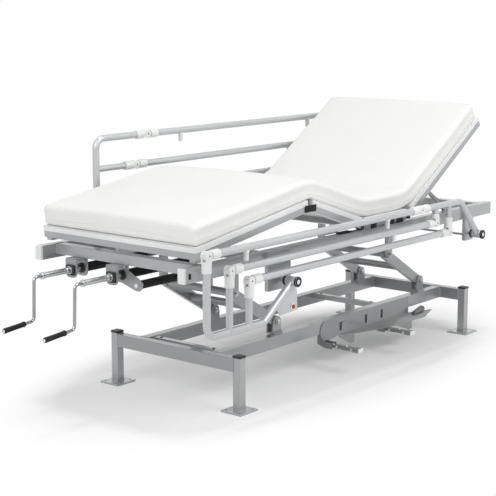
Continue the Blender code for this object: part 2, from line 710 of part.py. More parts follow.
def side_tube(side_name, frame):
    side = SIDES[side_name]
    limits = mirrored((FRAME_INSIDE, FRAME_OUTSIDE), side)
    heights = (SIDE_TUBE_FLOOR, SIDE_TUBE_TOP)
    start = FRAME_FOOT + END_CAP_THICKNESS + SEAT_GAP
    tube = box_tube("x", (start, FRAME_HEAD), limits, heights)
    fuse(tube, rail_post(RAIL_PIVOT_FOOT, FOOT_POST_REACH, side))
    fuse(tube, rail_post(RAIL_PIVOT_HEAD, HEAD_POST_REACH, side))
    finish(tube, f"side_tube_{side_name}", "steel_paint", frame)
    shell = TUBE_WALL + SEAT_GAP
    plug_end = FRAME_FOOT + END_CAP_THICKNESS + END_CAP_PLUG
    cap = block((FRAME_FOOT, FRAME_FOOT + END_CAP_THICKNESS), limits, heights)
    plug = block(
        (FRAME_FOOT + END_CAP_THICKNESS / 2, plug_end),
        (limits[0] + shell, limits[1] - shell),
        (heights[0] + shell, heights[1] - shell),
    )
    finish(fuse(cap, plug), f"end_cap_{side_name}", "white_plastic", frame)


def frame_cross(name, x, frame):
    reach = FRAME_INSIDE - SEAT_GAP
    heights = (SIDE_TUBE_TOP - CROSS_TUBE_SIDE, SIDE_TUBE_TOP)
    finish(box_tube("y", (-reach, reach), around(x, CROSS_TUBE_SIDE), heights), name, "steel_paint", frame)


def crank_bracket(which, frame):
    """A flange under the foot cross tube with two plates that carry the crank's shaft."""
    y = CRANK_PLACES[which]
    top = SIDE_TUBE_TOP - CROSS_TUBE_SIDE - SEAT_GAP
    low = CRANK_AXIS_Z - BRACKET_DROP
    flange = block((BRACKET_FRONT, BRACKET_REAR), around(y, BRACKET_WIDTH), (top - BRACKET_WALL, top))
    corner = BRACKET_WIDTH / 3
    outline = rounded_box(around(y, BRACKET_WIDTH), (low, top), corner)
    fuse(flange, prism(outline, (BRACKET_FRONT, BRACKET_FRONT + BRACKET_WALL), "x"))
    rear = (BRACKET_REAR - BRACKET_WALL, BRACKET_REAR)
    fuse(flange, prism(outline, rear, "x"))
    if which == "back":
        lug = link_outline((y, CRANK_AXIS_Z), (LEVER_PLACE, CYLINDER_Z), BRACKET_DROP, BRACKET_LUG_WIDTH / 2)
        fuse(flange, prism(lug, rear, "x"))
    bore = running_bore(CRANK_SLEEVE_RADIUS)
    front = (BRACKET_FRONT - BRACKET_WALL, y, CRANK_AXIS_Z)
    back = (BRACKET_REAR + BRACKET_WALL, y, CRANK_AXIS_Z)
    finish(carve(flange, rod(front, back, bore)), f"crank_bracket_{which}", "steel_paint", frame)


def screw_cover(which, frame):
    y = CRANK_PLACES[which]
    start = BRACKET_REAR + SEAT_GAP
    end = SCREW_COVER_ENDS[which]
    cover = rod((start, y, CRANK_AXIS_Z), (end, y, CRANK_AXIS_Z), SCREW_COVER_RADIUS)
    inner = SCREW_COVER_RADIUS - SCREW_COVER_WALL
    wide = rod((start - SCREW_COVER_WALL, y, CRANK_AXIS_Z), (end - SCREW_COVER_WALL, y, CRANK_AXIS_Z), inner)
    mouth = PUSH_ROD_RADIUS + SEAT_GAP
    neck = rod((start, y, CRANK_AXIS_Z), (end + SCREW_COVER_WALL, y, CRANK_AXIS_Z), mouth)
    finish(carve(cover, wide, neck), f"screw_cover_{which}", "black_plastic", frame)


def crank(which, bed):
    """The bent crank with its sleeve, and the grip that turns on its end."""
    y = CRANK_PLACES[which]
    z = CRANK_AXIS_Z
    body = add_body(f"crank_{which}_axis", bed, (CRANK_BEND, y, z))
    foot = Vector((CRANK_FOOT_X, y, CRANK_FOOT_Z))
    tip = foot + GRIP_AXIS * (GRIP_START + GRIP_LENGTH - GRIP_RADIUS)
    tail = BRACKET_REAR + CRANK_TAIL
    points = [(tail, y, z), (CRANK_BEND, y, z), foot, tip]
    arm = bent_rod(points, CRANK_ROD_RADIUS, CRANK_BEND_RADIUS)
    fuse(arm, rod((CRANK_SLEEVE_END, y, z), (BRACKET_REAR + BRACKET_WALL, y, z), CRANK_SLEEVE_RADIUS))
    finish(arm, f"crank_{which}", "chrome", body)
    grip_body = add_body(f"grip_{which}_axis", bed, foot + GRIP_AXIS * GRIP_START)
    start = foot + GRIP_AXIS * GRIP_START
    end = start + GRIP_AXIS * GRIP_LENGTH
    grip = rod(start, end, GRIP_RADIUS)
    closed = end - GRIP_AXIS * GRIP_RADIUS / 2
    bore = rod(start - GRIP_AXIS * GRIP_RADIUS, closed, running_bore(CRANK_ROD_RADIUS))
    finish(carve(grip, bore), f"grip_{which}", "black_plastic", grip_body)


def fork(x, y, z, slot, pin_radius, height):
    """A fork that opens upward around a pin on a lug."""
    half = LUG_THICKNESS / 2 + SIDE_PLAY
    wide = half + FORK_CHEEK
    shape = block((x - FORK_LENGTH - FORK_BACK, x + FORK_LENGTH), (y - wide, y + wide), around(z, height))
    carve(shape, block((x - FORK_LENGTH, x + 2 * FORK_LENGTH), (y - half, y + half), around(z, 2 * height)))
    width = 2 * (pin_radius + slot)
    floor = z - pin_radius - SEAT_GAP
    return carve(shape, block(around(x, width), around(y, 4 * wide), (floor, z + height)))


def push_rod(which, hinge_x, bed):
    """The rod that a screw moves, with a fork on the lug of the deck that it turns."""
    y = CRANK_PLACES[which]
    z = CRANK_AXIS_Z
    body = add_body(f"push_rod_{which}_axis", bed, (hinge_x, y, z))
    shape = fork(hinge_x, y, z, SLOT_PLAY[which], LUG_PIN_RADIUS, FORK_HEIGHT)
    end = hinge_x - FORK_LENGTH - FORK_BACK / 2
    fuse(shape, rod((PUSH_ROD_STARTS[which], y, z), (end, y, z), PUSH_ROD_RADIUS, 12))
    finish(shape, f"push_rod_{which}", "dark_paint", body)


def lift_actuator(bed, frame):
    """The lift cylinder under the frame and its rod, whose fork takes the lever of the foot lift frame."""
    y = LEVER_PLACE
    z = CYLINDER_Z
    start = BRACKET_REAR + SEAT_GAP
    cylinder = rod((start, y, z), (CYLINDER_END, y, z), CYLINDER_RADIUS)
    bore = LIFT_ROD_RADIUS + SEAT_GAP
    carve(cylinder, rod((start + CYLINDER_FLOOR, y, z), (CYLINDER_END + CYLINDER_FLOOR, y, z), bore, 12))
    finish(cylinder, "lift_cylinder", "black_plastic", frame)
    lever_x = LIFT_PIVOT_FOOT - ARM_REACH
    body = add_body("lift_rod_axis", bed, (lever_x, y, z))
    half = LEVER_THICKNESS / 2 + SIDE_PLAY
    wide = half + FORK_CHEEK
    short = 3 * LEVER_PIN_RADIUS
    back = lever_x - LIFT_FORK_DEPTH - short
    shape = block((back, lever_x + short), (y - wide, y + wide), around(z, 2 * short))
    inside = (lever_x - LIFT_FORK_DEPTH, lever_x + 2 * short)
    carve(shape, block(inside, (y - half, y + half), around(z, 4 * short)))
    width = 2 * (LEVER_PIN_RADIUS + LIFT_FORK_PLAY)
    roof = z + LEVER_PIN_RADIUS + SEAT_GAP
    carve(shape, block(around(lever_x, width), around(y, 4 * wide), (z - 2 * short, roof)))
    fuse(shape, rod((LIFT_ROD_START, y, z), (back + short / 2, y, z), LIFT_ROD_RADIUS))
    finish(shape, "lift_rod", "chrome", body)


# Decks; each is drawn in its own frame, with u along the deck from its hinge and w square to it


def deck_slab(u, heading):
    """A panel on a frame that is open below; heading is +1 where u runs to the head and -1 to the foot."""
    x = tuple(sorted(heading * limit for limit in u))
    half = DECK_WIDTH / 2
    slab = block(x, (-half, half), (DECK_DOWN, PANEL_UP))
    inner_x = (x[0] + DECK_FRAME_WIDTH, x[1] - DECK_FRAME_WIDTH)
    inner_y = half - DECK_FRAME_WIDTH
    return carve(slab, block(inner_x, (-inner_y, inner_y), (DECK_DOWN - PANEL_UP, PANEL_DOWN)))


def hinge_eyes(x, edge, heading, with_pin):
    """Lugs from a deck's edge to the hinge axis at x; with_pin gives the lugs that hold the pins."""
    shapes = []
    for place in HINGE_LUG_PLACES:
        shift = 0.0 if with_pin else HINGE_LUG_THICKNESS + SIDE_PLAY
        limits = (place + shift, place + shift + HINGE_LUG_THICKNESS)
        inside = x + heading * (edge + DECK_FRAME_WIDTH / 2)
        eye = link_outline((x, 0), (inside, 0), HINGE_EYE_RADIUS, -DECK_DOWN)
        plate = prism(eye, limits)
        if with_pin:
            reach = limits[1] + 2 * SIDE_PLAY + HINGE_LUG_THICKNESS
            fuse(plate, rod((x, limits[0], 0), (x, reach, 0), HINGE_PIN_RADIUS, PIN_SIDES))
        else:
            ends = (limits[0] - HINGE_LUG_THICKNESS, limits[1] + HINGE_LUG_THICKNESS)
            bore = running_bore(HINGE_PIN_RADIUS, PIN_SIDES)
            carve(plate, rod((x, ends[0], 0), (x, ends[1], 0), bore, PIN_SIDES))
        shapes.append(plate)
    return shapes


def push_lug(which, tilt, heading, edge):
    """A lug that hangs straight down from a tilted deck's hinge, with the pin for its push rod's fork."""
    y = CRANK_PLACES[which]
    tip = (LUG_DROP * math.sin(tilt), -LUG_DROP * math.cos(tilt))
    limits = around(y, LUG_THICKNESS)
    root = (heading * (edge + DECK_FRAME_WIDTH / 2), PANEL_DOWN - HINGE_EYE_RADIUS)
    lug = prism(link_outline((0, 0), tip, LUG_ROOT_RADIUS, LUG_TIP_RADIUS), limits)
    fuse(lug, prism(link_outline((0, 0), root, HINGE_EYE_RADIUS, HINGE_EYE_RADIUS), limits))
    reach = LUG_THICKNESS / 2 + SIDE_PLAY + FORK_CHEEK
    ends = [(tip[0], y + side * reach, tip[1]) for side in (-1, 1)]
    return fuse(lug, rod(*ends, LUG_PIN_RADIUS, PIN_SIDES))


def seat_deck(frame):
    """The fixed deck between the two main hinges, on pads on the side tubes."""
    u = (THIGH_EDGE, BACK_HINGE - THIGH_HINGE - BACK_EDGE)
    slab = deck_slab(u, 1)
    pad_top = DECK_DOWN + DECK_FRAME_HEIGHT / 2
    for side in (-1, 1):
        limits = mirrored((FRAME_INSIDE, FRAME_OUTSIDE), side)
        for x in (u[0], u[1] - DECK_FRAME_WIDTH):
            pad = block((x, x + DECK_FRAME_WIDTH), limits, (SIDE_TUBE_TOP + SEAT_GAP - HINGE_Z, pad_top))
            fuse(slab, pad)
    fuse(slab, *hinge_eyes(0, THIGH_EDGE, 1, True))
    fuse(slab, *hinge_eyes(BACK_HINGE - THIGH_HINGE, BACK_EDGE, -1, True))
    slab.data.transform(Matrix.Translation((THIGH_HINGE, 0, HINGE_Z)))
    finish(slab, "seat_deck", "deck_panel", frame)


def thigh_deck(body):
    slab = deck_slab((THIGH_EDGE, THIGH_LENGTH - KNEE_EDGE), -1)
    fuse(slab, *hinge_eyes(0, THIGH_EDGE, -1, False))
    fuse(slab, *hinge_eyes(-THIGH_LENGTH, KNEE_EDGE, 1, True))
    fuse(slab, push_lug("knee", THIGH_ANGLE, -1, THIGH_EDGE))
    finish(slab, "thigh_deck", "deck_panel", body, True)


def calf_deck(body):
    """The foot section, with a skid over each side tube near its foot end."""
    slab = deck_slab((KNEE_EDGE, CALF_LENGTH), -1)
    fuse(slab, *hinge_eyes(0, KNEE_EDGE, -1, False))
    start = CALF_LENGTH - SKID_LENGTH
    drop = CALF_FOOT_Z - SIDE_TUBE_TOP - SKID_CLEARANCE
    low = -drop / math.cos(CALF_ANGLE)
    rise = SKID_LENGTH * math.tan(CALF_ANGLE)
    high = PANEL_DOWN + SEAT_GAP
    outline = [(-CALF_LENGTH, low), (-start, low - rise), (-start, high), (-CALF_LENGTH, high)]
    for side in (-1, 1):
        fuse(slab, prism(outline, around(side * SIDE_TUBE_Y, SKID_WIDTH)))
    finish(slab, "calf_deck", "deck_panel", body, True)


def back_deck(body):
    """The back section, with the lugs that its two props hang on."""
    slab = deck_slab((BACK_EDGE, BACK_LENGTH), 1)
    fuse(slab, *hinge_eyes(0, BACK_EDGE, 1, False))
    fuse(slab, push_lug("back", -BACK_ANGLE, 1, BACK_EDGE))
    for side in (-1, 1):
        inner = PROP_THICKNESS / 2 + SIDE_PLAY
        outline = [(PROP_REACH - PROP_DEPTH, PANEL_DOWN + SEAT_GAP)]
        outline += arc((PROP_REACH, 0), PROP_DEPTH / 2, 180, 360, 5)
        outline.append((PROP_REACH + PROP_DEPTH, PANEL_DOWN + SEAT_GAP))
        for face in (-1, 1):
            y = side * PROP_Y + face * (inner + PROP_LUG_THICKNESS / 2)
            fuse(slab, prism(outline, around(y, PROP_LUG_THICKNESS)))
        reach = inner + PROP_LUG_THICKNESS / 2
        y = side * PROP_Y
        fuse(slab, rod((PROP_REACH, y - reach, 0), (PROP_REACH, y + reach, 0), PROP_PIN_RADIUS, PIN_SIDES))
    finish(slab, "back_deck", "deck_panel", body, True)


def back_prop(side_name, bed):
    """A prop as long as its reach on the deck, so that its roller stays on the side tube."""
    side = SIDES[side_name]
    y = side * PROP_Y
    x = BACK_HINGE + PROP_REACH * math.cos(BACK_ANGLE)
    z = HINGE_Z + PROP_REACH * math.sin(BACK_ANGLE)
    body = add_body(f"back_prop_{side_name}_axis", bed, (x, y, z), BACK_ANGLE)
    outline = link_outline((0, 0), (PROP_REACH, 0), PROP_DEPTH / 2, PROP_DEPTH / 2)
    bar = prism(outline, around(0, PROP_THICKNESS))
    half = PROP_ROLLER_WIDTH / 2
    roller = rod((PROP_REACH, -half, 0), (PROP_REACH, half, 0), PROP_ROLLER_RADIUS)
    wide = running_bore(PROP_PIN_RADIUS, PIN_SIDES)
    bore = rod((0, -PROP_THICKNESS, 0), (0, PROP_THICKNESS, 0), wide, PIN_SIDES)
    finish(carve(fuse(bar, roller), bore), f"back_prop_{side_name}", "steel_paint", body, True)


# Mattress


def mattress_ring(inset):
    """(y, height) points around the mattress: crowned top, round corners, sides drawn in at the middle."""
    half = MATTRESS_WIDTH / 2 - inset
    low = inset
    high = MATTRESS_THICKNESS - MATTRESS_CROWN - inset
    corner = max(MATTRESS_CORNER - inset, MATTRESS_CORNER / 3)
    middle = (low + high) / 2
    draw = MATTRESS_DRAW_IN
    right = arc((half - corner, low + corner), corner, 270, 360, 4)
    right.append((half - draw, middle))
    right += arc((half - corner, high - corner), corner, 0, 90, 4)
    crown = []
    for share in (0.75, 0.45, 0.15):
        crown.append((share * (half - corner), high + MATTRESS_CROWN * (1 - share * share)))
    right += crown
    left = [(-y, height) for y, height in reversed(right)]
    return right + left


def mattress(name, start, end, slopes, rounded, body, own_frame):
    """A foam block along x; its ends lean by a slope times the height, and a rounded end is drawn in."""
    shape = bmesh.new()
    rings = []
    stations = []
    steps = 3
    if rounded[0]:
        for step in range(steps):
            turn = math.pi / 2 * step / steps
            inset = MATTRESS_END_ROUND * (1 - math.sin(turn))
            stations.append((start + MATTRESS_END_ROUND * (1 - math.cos(turn)), inset))
        stations.append((start + MATTRESS_END_ROUND, 0.0))
    else:
        stations.append((start, 0.0))
    if rounded[1]:
        stations.append((end - MATTRESS_END_ROUND, 0.0))
        for step in reversed(range(steps)):
            turn = math.pi / 2 * step / steps
            inset = MATTRESS_END_ROUND * (1 - math.sin(turn))
            stations.append((end - MATTRESS_END_ROUND * (1 - math.cos(turn)), inset))
    else:
        stations.append((end, 0.0))
    lift = PANEL_UP + SEAT_GAP
    for index, (x, inset) in enumerate(stations):
        slope = slopes[0] if index == 0 else slopes[1] if index == len(stations) - 1 else 0.0
        ring = []
        for y, height in mattress_ring(inset):
            ring.append(shape.verts.new((x + slope * (lift + height), y, lift + height)))
        rings.append(ring)
    count = len(rings[0])
    for ring, after in zip(rings, rings[1:]):
        for index in range(count):
            following = (index + 1) % count
            shape.faces.new((ring[index], ring[following], after[following], after[index]))
    shape.faces.new(rings[0])
    shape.faces.new(rings[-1])
    bmesh.ops.triangulate(shape, faces=shape.faces)
    foam = link_mesh(shape)
    finish(foam, name, "mattress_cover", body, own_frame)


def build_decks(bed, frame):
    seat_deck(frame)
    thigh = add_body("thigh_axis", bed, (THIGH_HINGE, 0, HINGE_Z), THIGH_ANGLE)
    calf = add_body("calf_axis", bed, (KNEE_X, 0, KNEE_Z), -CALF_ANGLE)
    back = add_body("back_axis", bed, (BACK_HINGE, 0, HINGE_Z), -BACK_ANGLE)
    thigh_deck(thigh)
    calf_deck(calf)
    back_deck(back)
    for side_name in SIDES:
        back_prop(side_name, bed)
    margin = SIDE_PLAY
    seat_body = add_body("seat_axis", bed, (THIGH_HINGE, 0, HINGE_Z))
    seat_end = BACK_HINGE - THIGH_HINGE
    mattress("mattress_back", margin, BACK_LENGTH, (BACK_SLOPE, 0), (False, True), back, True)
    slopes = (THIGH_SLOPE, -BACK_SLOPE)
    knee = -THIGH_LENGTH + margin
    mattress("mattress_seat", margin, seat_end - margin, slopes, (False, False), seat_body, True)
    mattress("mattress_thigh", knee, -margin, (0, -THIGH_SLOPE), (False, False), thigh, True)
    mattress("mattress_calf", -CALF_LENGTH, -margin, (0, 0), (True, False), calf, True)


# Side rails


def cheeks(pivot, toward):
    """The two cheeks and pin of a hinge fitting; toward is the direction of the tube that carries it."""
    reach = FITTING_REACH + FITTING_EMBED
    end = (pivot[0] + toward[0] * reach, pivot[1] + toward[1] * reach)
    outline = link_outline(pivot, end, FITTING_EYE_RADIUS, FITTING_TAIL_RADIUS)
    inner = TONGUE_THICKNESS / 2 + SIDE_PLAY / 2
    outer = inner + CHEEK_THICKNESS
    pin = rod((pivot[0], -outer, pivot[1]), (pivot[0], outer, pivot[1]), FITTING_PIN_RADIUS, PIN_SIDES)
    return prism(outline, (inner, outer)), prism(outline, (-outer, -inner)), pin


def collar(pivot, toward):
    """The plastic sleeve of a fitting, around the end of its tube."""
    start = [pivot[0] + toward[0] * FITTING_REACH, 0, pivot[1] + toward[1] * FITTING_REACH]
    length = FITTING_REACH + FITTING_LENGTH
    end = [pivot[0] + toward[0] * length, 0, pivot[1] + toward[1] * length]
    return rod(start, end, FITTING_RADIUS, 12)


def pivot_boss():
    half = RAIL_BOSS_LENGTH / 2
    return rod((0, -half, 0), (0, half, 0), RAIL_BOSS_RADIUS)


def pivot_bore():
    return rod((0, -RAIL_BOSS_LENGTH, 0), (0, RAIL_BOSS_LENGTH, 0), running_bore(RAIL_PIN_RADIUS))


def tube_points(pairs):
    return [(x, 0, z) for x, z in pairs]


def foot_end_frame(side_name, body):
    """A bent tube from the top fitting down and along to the pivot, two stubs and the lock's gusset."""
    top = RAIL_FITTINGS["top"]
    start = (top[0], top[1] - FITTING_REACH - FITTING_LENGTH / 2)
    low = RAIL_FRAME_BOTTOM
    path = [start, (top[0], low), (RAIL_FRAME_KNEE, low), (0, 0)]
    frame = bent_rod(tube_points(path), RAIL_TUBE_RADIUS, RAIL_BEND_RADIUS)
    for name, pivot in RAIL_FITTINGS.items():
        fitting = fuse(collar(pivot, (0, -1)), *cheeks(pivot, (0, -1)))
        if name != "top":
            inside = pivot[1] - FITTING_REACH - FITTING_LENGTH / 2
            fuse(fitting, rod((pivot[0], 0, low), (pivot[0], 0, inside), RAIL_STUB_RADIUS))
        fuse(frame, fitting)
    fuse(frame, prism(GUSSET, around(0, GUSSET_THICKNESS)))
    fuse(frame, pivot_boss())
    x, z = BUTTON_PLACE
    hole = rod((x, -GUSSET_THICKNESS, z), (x, GUSSET_THICKNESS, z), BUTTON_RADIUS + SEAT_GAP)
    carve(frame, pivot_bore(), hole)
    finish(frame, f"rail_frame_foot_{side_name}", "steel_paint", body, True)


def head_end_frame(side_name, body):
    """A bent tube from the top fitting to the pivot, with two stubs that hang from it."""
    top = RAIL_FITTINGS["top"]
    path = [(top[0] + FITTING_REACH + FITTING_LENGTH / 2, top[1]), (RAIL_HEAD_KNEE, top[1]), (0, 0)]
    frame = bent_rod(tube_points(path), RAIL_TUBE_RADIUS, RAIL_BEND_RADIUS)
    fuse(frame, fuse(collar(top, (1, 0)), *cheeks(top, (1, 0))))
    for name in ("mid", "low"):
        x, z = RAIL_FITTINGS[name]
        stub = rod((x, 0, top[1]), (x, 0, z + FITTING_REACH), RAIL_STUB_RADIUS)
        fuse(frame, fuse(stub, *cheeks((x, z), (0, 1))))
    fuse(frame, pivot_boss())
    carve(frame, pivot_bore())
    finish(frame, f"rail_frame_head_{side_name}", "steel_paint", body, True)


def tongue(x, toward):
    """A flat eye on a rail's end; toward is +1 where the rail runs to +x."""
    end = (x + toward * (FITTING_REACH + FITTING_EMBED), 0)
    outline = link_outline((x, 0), end, FITTING_EYE_RADIUS - SEAT_GAP, FITTING_TAIL_RADIUS)
    plate = prism(outline, around(0, TONGUE_THICKNESS))
    wide = running_bore(FITTING_PIN_RADIUS, PIN_SIDES)
    bore = rod((x, -TONGUE_THICKNESS, 0), (x, TONGUE_THICKNESS, 0), wide, PIN_SIDES)
    return carve(plate, bore)


def rail(which, side_name, body):
    """A rail tube between its two fittings, drawn from the foot fitting's pin."""
    length = RAIL_PIVOT_HEAD - RAIL_PIVOT_FOOT
    inset = FITTING_REACH + FITTING_LENGTH / 2
    tube = rod((inset, 0, 0), (length - inset, 0, 0), RAIL_TUBE_RADIUS)
    for x, toward in ((0.0, 1), (length, -1)):
        fuse(tube, fuse(collar((x, 0), (toward, 0)), tongue(x, toward)))
    for x in BUMPER_PLACES.get(which, ()):
        drop = RAIL_TUBE_RADIUS + BUMPER_LENGTHS[which]
        fuse(tube, rod((x, 0, 0), (x, 0, -drop), BUMPER_RADIUS, spin=BUMPER_SPIN))
    finish(tube, f"rail_{which}_{side_name}", "steel_paint", body, True)


def lock_button(side_name, body, side):
    """The push button in the gusset, drawn in the foot end frame's own place."""
    low = -side * BUTTON_LENGTH / 2
    knob = rod((0, low, 0), (0, -low, 0), BUTTON_RADIUS)
    finish(knob, f"lock_button_{side_name}", "red_plastic", body, True)


def turned(point, turn):
    """A point of an end frame after the frame has turned about +Y."""
    x, z = point
    return (x * math.cos(turn) + z * math.sin(turn), -x * math.sin(turn) + z * math.cos(turn))


def build_side_rail(side_name, turn, bed):
    side = SIDES[side_name]
    y = side * RAIL_PLANE
    foot = add_body(f"rail_foot_{side_name}_axis", bed, (RAIL_PIVOT_FOOT, y, RAIL_PIVOT_HEIGHT), turn)
    head = add_body(f"rail_head_{side_name}_axis", bed, (RAIL_PIVOT_HEAD, y, RAIL_PIVOT_HEIGHT), turn)
    foot_end_frame(side_name, foot)
    head_end_frame(side_name, head)
    for which, point in RAIL_FITTINGS.items():
        x, z = turned(point, turn)
        place = (RAIL_PIVOT_FOOT + x, y, RAIL_PIVOT_HEIGHT + z)
        rail(which, side_name, add_body(f"rail_{which}_{side_name}_axis", bed, place))
    x, z = turned(BUTTON_PLACE, turn)
    place = (RAIL_PIVOT_FOOT + x, y, RAIL_PIVOT_HEIGHT + z)
    lock_button(side_name, add_body(f"lock_button_{side_name}_axis", bed, place), side)


def main():
    clear_scene()
    bed = bpy.data.objects.new("bed", None)
    bpy.context.scene.collection.objects.link(bed)
    bed.location.x = -BED_MIDDLE
    build_base(bed)
    frame = add_body("upper_frame", bed, (LIFT_PIVOT_FOOT - ARM_REACH, 0, UPPER_PIVOT_HEIGHT))
    for end in LIFT_ENDS:
        lift_frame(end, bed)
        lift_cross(end, frame)
    for side_name in SIDES:
        side_tube(side_name, frame)
    frame_cross("frame_cross_foot", CROSS_TUBE_FOOT, frame)
    frame_cross("frame_cross_head", CROSS_TUBE_HEAD, frame)
    for which in CRANK_PLACES:
        crank_bracket(which, frame)
        screw_cover(which, frame)
        crank(which, bed)
    push_rod("back", BACK_HINGE, bed)
    push_rod("knee", THIGH_HINGE, bed)
    lift_actuator(bed, frame)
    build_decks(bed, frame)
    build_side_rail("near", 0.0, bed)
    build_side_rail("far", math.pi / 2, bed)


main()
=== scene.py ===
"""Looks of a manual-crank hospital bed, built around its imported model. Metres, +Z up, +X to the head end."""

import json
import math

import bmesh
import bpy
from mathutils import Matrix, Vector, noise


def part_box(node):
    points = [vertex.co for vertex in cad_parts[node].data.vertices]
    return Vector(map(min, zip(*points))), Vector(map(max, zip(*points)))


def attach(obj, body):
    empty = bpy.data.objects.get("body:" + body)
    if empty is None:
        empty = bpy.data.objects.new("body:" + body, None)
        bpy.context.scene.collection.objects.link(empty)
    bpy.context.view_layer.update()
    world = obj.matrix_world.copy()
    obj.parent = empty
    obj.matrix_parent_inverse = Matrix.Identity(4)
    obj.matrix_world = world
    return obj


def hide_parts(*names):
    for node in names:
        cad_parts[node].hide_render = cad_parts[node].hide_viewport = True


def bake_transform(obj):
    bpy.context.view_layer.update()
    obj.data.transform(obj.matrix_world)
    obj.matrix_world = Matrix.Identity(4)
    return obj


bl_info = {
    "name": "Hospital Bed Dressing",
    "version": (1, 0, 0),
    "blender": (4, 5, 0),
    "location": "View3D > Sidebar > Bed",
    "description": "Finishes, mattress, rails and small fittings of a crank bed",
    "category": "Object",
}

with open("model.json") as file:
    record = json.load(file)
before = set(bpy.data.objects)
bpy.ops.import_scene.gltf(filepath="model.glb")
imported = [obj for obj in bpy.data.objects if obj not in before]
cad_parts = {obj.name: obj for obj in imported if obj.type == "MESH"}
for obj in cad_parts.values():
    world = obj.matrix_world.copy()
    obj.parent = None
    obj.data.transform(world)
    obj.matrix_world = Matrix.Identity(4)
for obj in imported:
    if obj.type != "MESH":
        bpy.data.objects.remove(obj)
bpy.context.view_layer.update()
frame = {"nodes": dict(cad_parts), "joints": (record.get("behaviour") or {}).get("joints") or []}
NODES = frame["nodes"]
JOINTS = {joint["name"]: joint for joint in frame["joints"]}
SIDES = {"near": -1, "far": 1}
ENDS = ("foot", "head")
RAILS = ("top", "mid", "low")
BOTH = (-1, 1)
ALONG = Vector((1, 0, 0))
ACROSS = Vector((0, 1, 0))
UP = Vector((0, 0, 1))
NO_TURN = Matrix.Identity(4)
# Stands a shape that is drawn in XY upright, in the plane of the bed's side
UPRIGHT = Matrix(((1, 0, 0, 0), (0, 0, -1, 0), (0, 1, 0, 0), (0, 0, 0, 1)))


def joint_place(name):
    return Vector(JOINTS[name]["pos_m"])


# Sizes and colours that a user may change


def length(name, text, default):
    return bpy.props.FloatProperty(name=name, description=text, default=default, unit="LENGTH", precision=4)


def colour(name, text, default):
    return bpy.props.FloatVectorProperty(
        name=name, description=text, default=default, size=3, subtype="COLOR", min=0.0, max=1.0
    )


def angle(name, text, degrees):
    default = math.radians(degrees)
    return bpy.props.FloatProperty(name=name, description=text, default=default, subtype="ANGLE")


class BedColours(bpy.types.PropertyGroup):
    """Colours of the finishes."""

    paint: colour("Paint", "Silver-grey paint of the steel tubes", (0.395, 0.407, 0.414))
    dark_paint: colour("Dark Paint", "Paint of brackets and pedals", (0.115, 0.119, 0.124))
    white_plastic: colour("White Plastic", "Rail fittings and caps", (0.80, 0.81, 0.80))
    deck: colour("Deck", "Moulded deck panels", (0.84, 0.85, 0.845))
    black_plastic: colour("Black Plastic", "Grips, covers and plugs", (0.018, 0.018, 0.019))
    cover: colour("Mattress Cover", "Coated cover of the mattress", (0.90, 0.90, 0.88))
    red: colour("Lock Button", "Push button of the rail lock", (0.40, 0.022, 0.022))


class BedMattress(bpy.types.PropertyGroup):
    """Sizes of the mattress."""

    thickness: length("Thickness", "Foam with its cover", 0.085)
    width: length("Width", "Across the bed", 0.826)
    top_edge: length("Top Edge", "Radius of the top edges", 0.024)
    low_edge: length("Low Edge", "Radius of the lower edges", 0.014)
    crown: length("Crown", "Rise of the top at the middle", 0.006)
    draw_in: length("Draw In", "How far the sides pull in at the middle", 0.004)
    seam: length("Seam", "Height of the sewn seam on the sides", 0.0012)
    wrinkle: length("Wrinkle", "Depth of the folds at the bends", 0.0022)


class BedRails(bpy.types.PropertyGroup):
    """Sizes of the side rails and their fittings."""

    tube: length("Tube Radius", "Rail tubes and end frames", 0.015)
    stub: length("Stub Radius", "Upright stubs of the end frames", 0.0138)
    bend: length("Bend", "Bend radius of the end frames", 0.045)
    foot_floor: length("Foot Frame Floor", "Low run of the foot frame, from its pivot", -0.1355)
    foot_knee: length("Foot Frame Knee", "Where the foot frame turns up to its pivot", -0.180)
    head_knee: length("Head Frame Knee", "Where the head frame turns down to its pivot", -0.165)
    sleeve: length("Sleeve Radius", "Plastic sleeves on the tube ends", 0.0189)
    sleeve_start: length("Sleeve Start", "From a fitting's pin to its sleeve", 0.021)
    sleeve_end: length("Sleeve End", "From a fitting's pin to the sleeve's end", 0.066)
    eye: length("Eye Radius", "Round eyes of the fittings", 0.0178)
    tongue: length("Tongue", "Half thickness of a rail's eye", 0.0055)
    cheek: length("Cheek", "Outer face of a fitting, from its middle", 0.0160)
    bumper: length("Bumper Radius", "Bumpers under the rails", 0.0104)


class BedStage(bpy.types.PropertyGroup):
    """Floor, light and camera."""

    floor: colour("Floor", "Pale studio floor", (0.93, 0.93, 0.93))
    lens: bpy.props.FloatProperty(name="Lens", description="Focal length on a 36 mm sensor", default=99.10)
    camera: bpy.props.FloatVectorProperty(
        name="Camera",
        description="Camera from the foot legs",
        default=(-4.0455, -3.7067, 1.6149),
        subtype="TRANSLATION",
    )
    heading: angle("Heading", "View direction from +X", 39.388)
    pitch: angle("Pitch", "View direction below the horizon", 10.236)


def settings(context, name):
    return getattr(context.scene, name)


# Mesh tools; each adds a closed shell to a bmesh, or gives points or a place for one


def skin(shape, rings, closed=False):
    """Faces between rings of points, with an end face on the first and last ring unless they join up."""
    made = [[shape.verts.new(point) for point in ring] for ring in rings]
    pairs = list(zip(made, made[1:]))
    if closed:
        pairs.append((made[-1], made[0]))
    for ring, after in pairs:
        for index in range(len(ring)):
            following = (index + 1) % len(ring)
            shape.faces.new((ring[index], ring[following], after[following], after[index]))
    if not closed:
        shape.faces.new(made[0])
        shape.faces.new(made[-1])


def quarter(steps):
    """Angles from nought to a right angle."""
    return [math.pi / 2 * step / steps for step in range(steps + 1)]


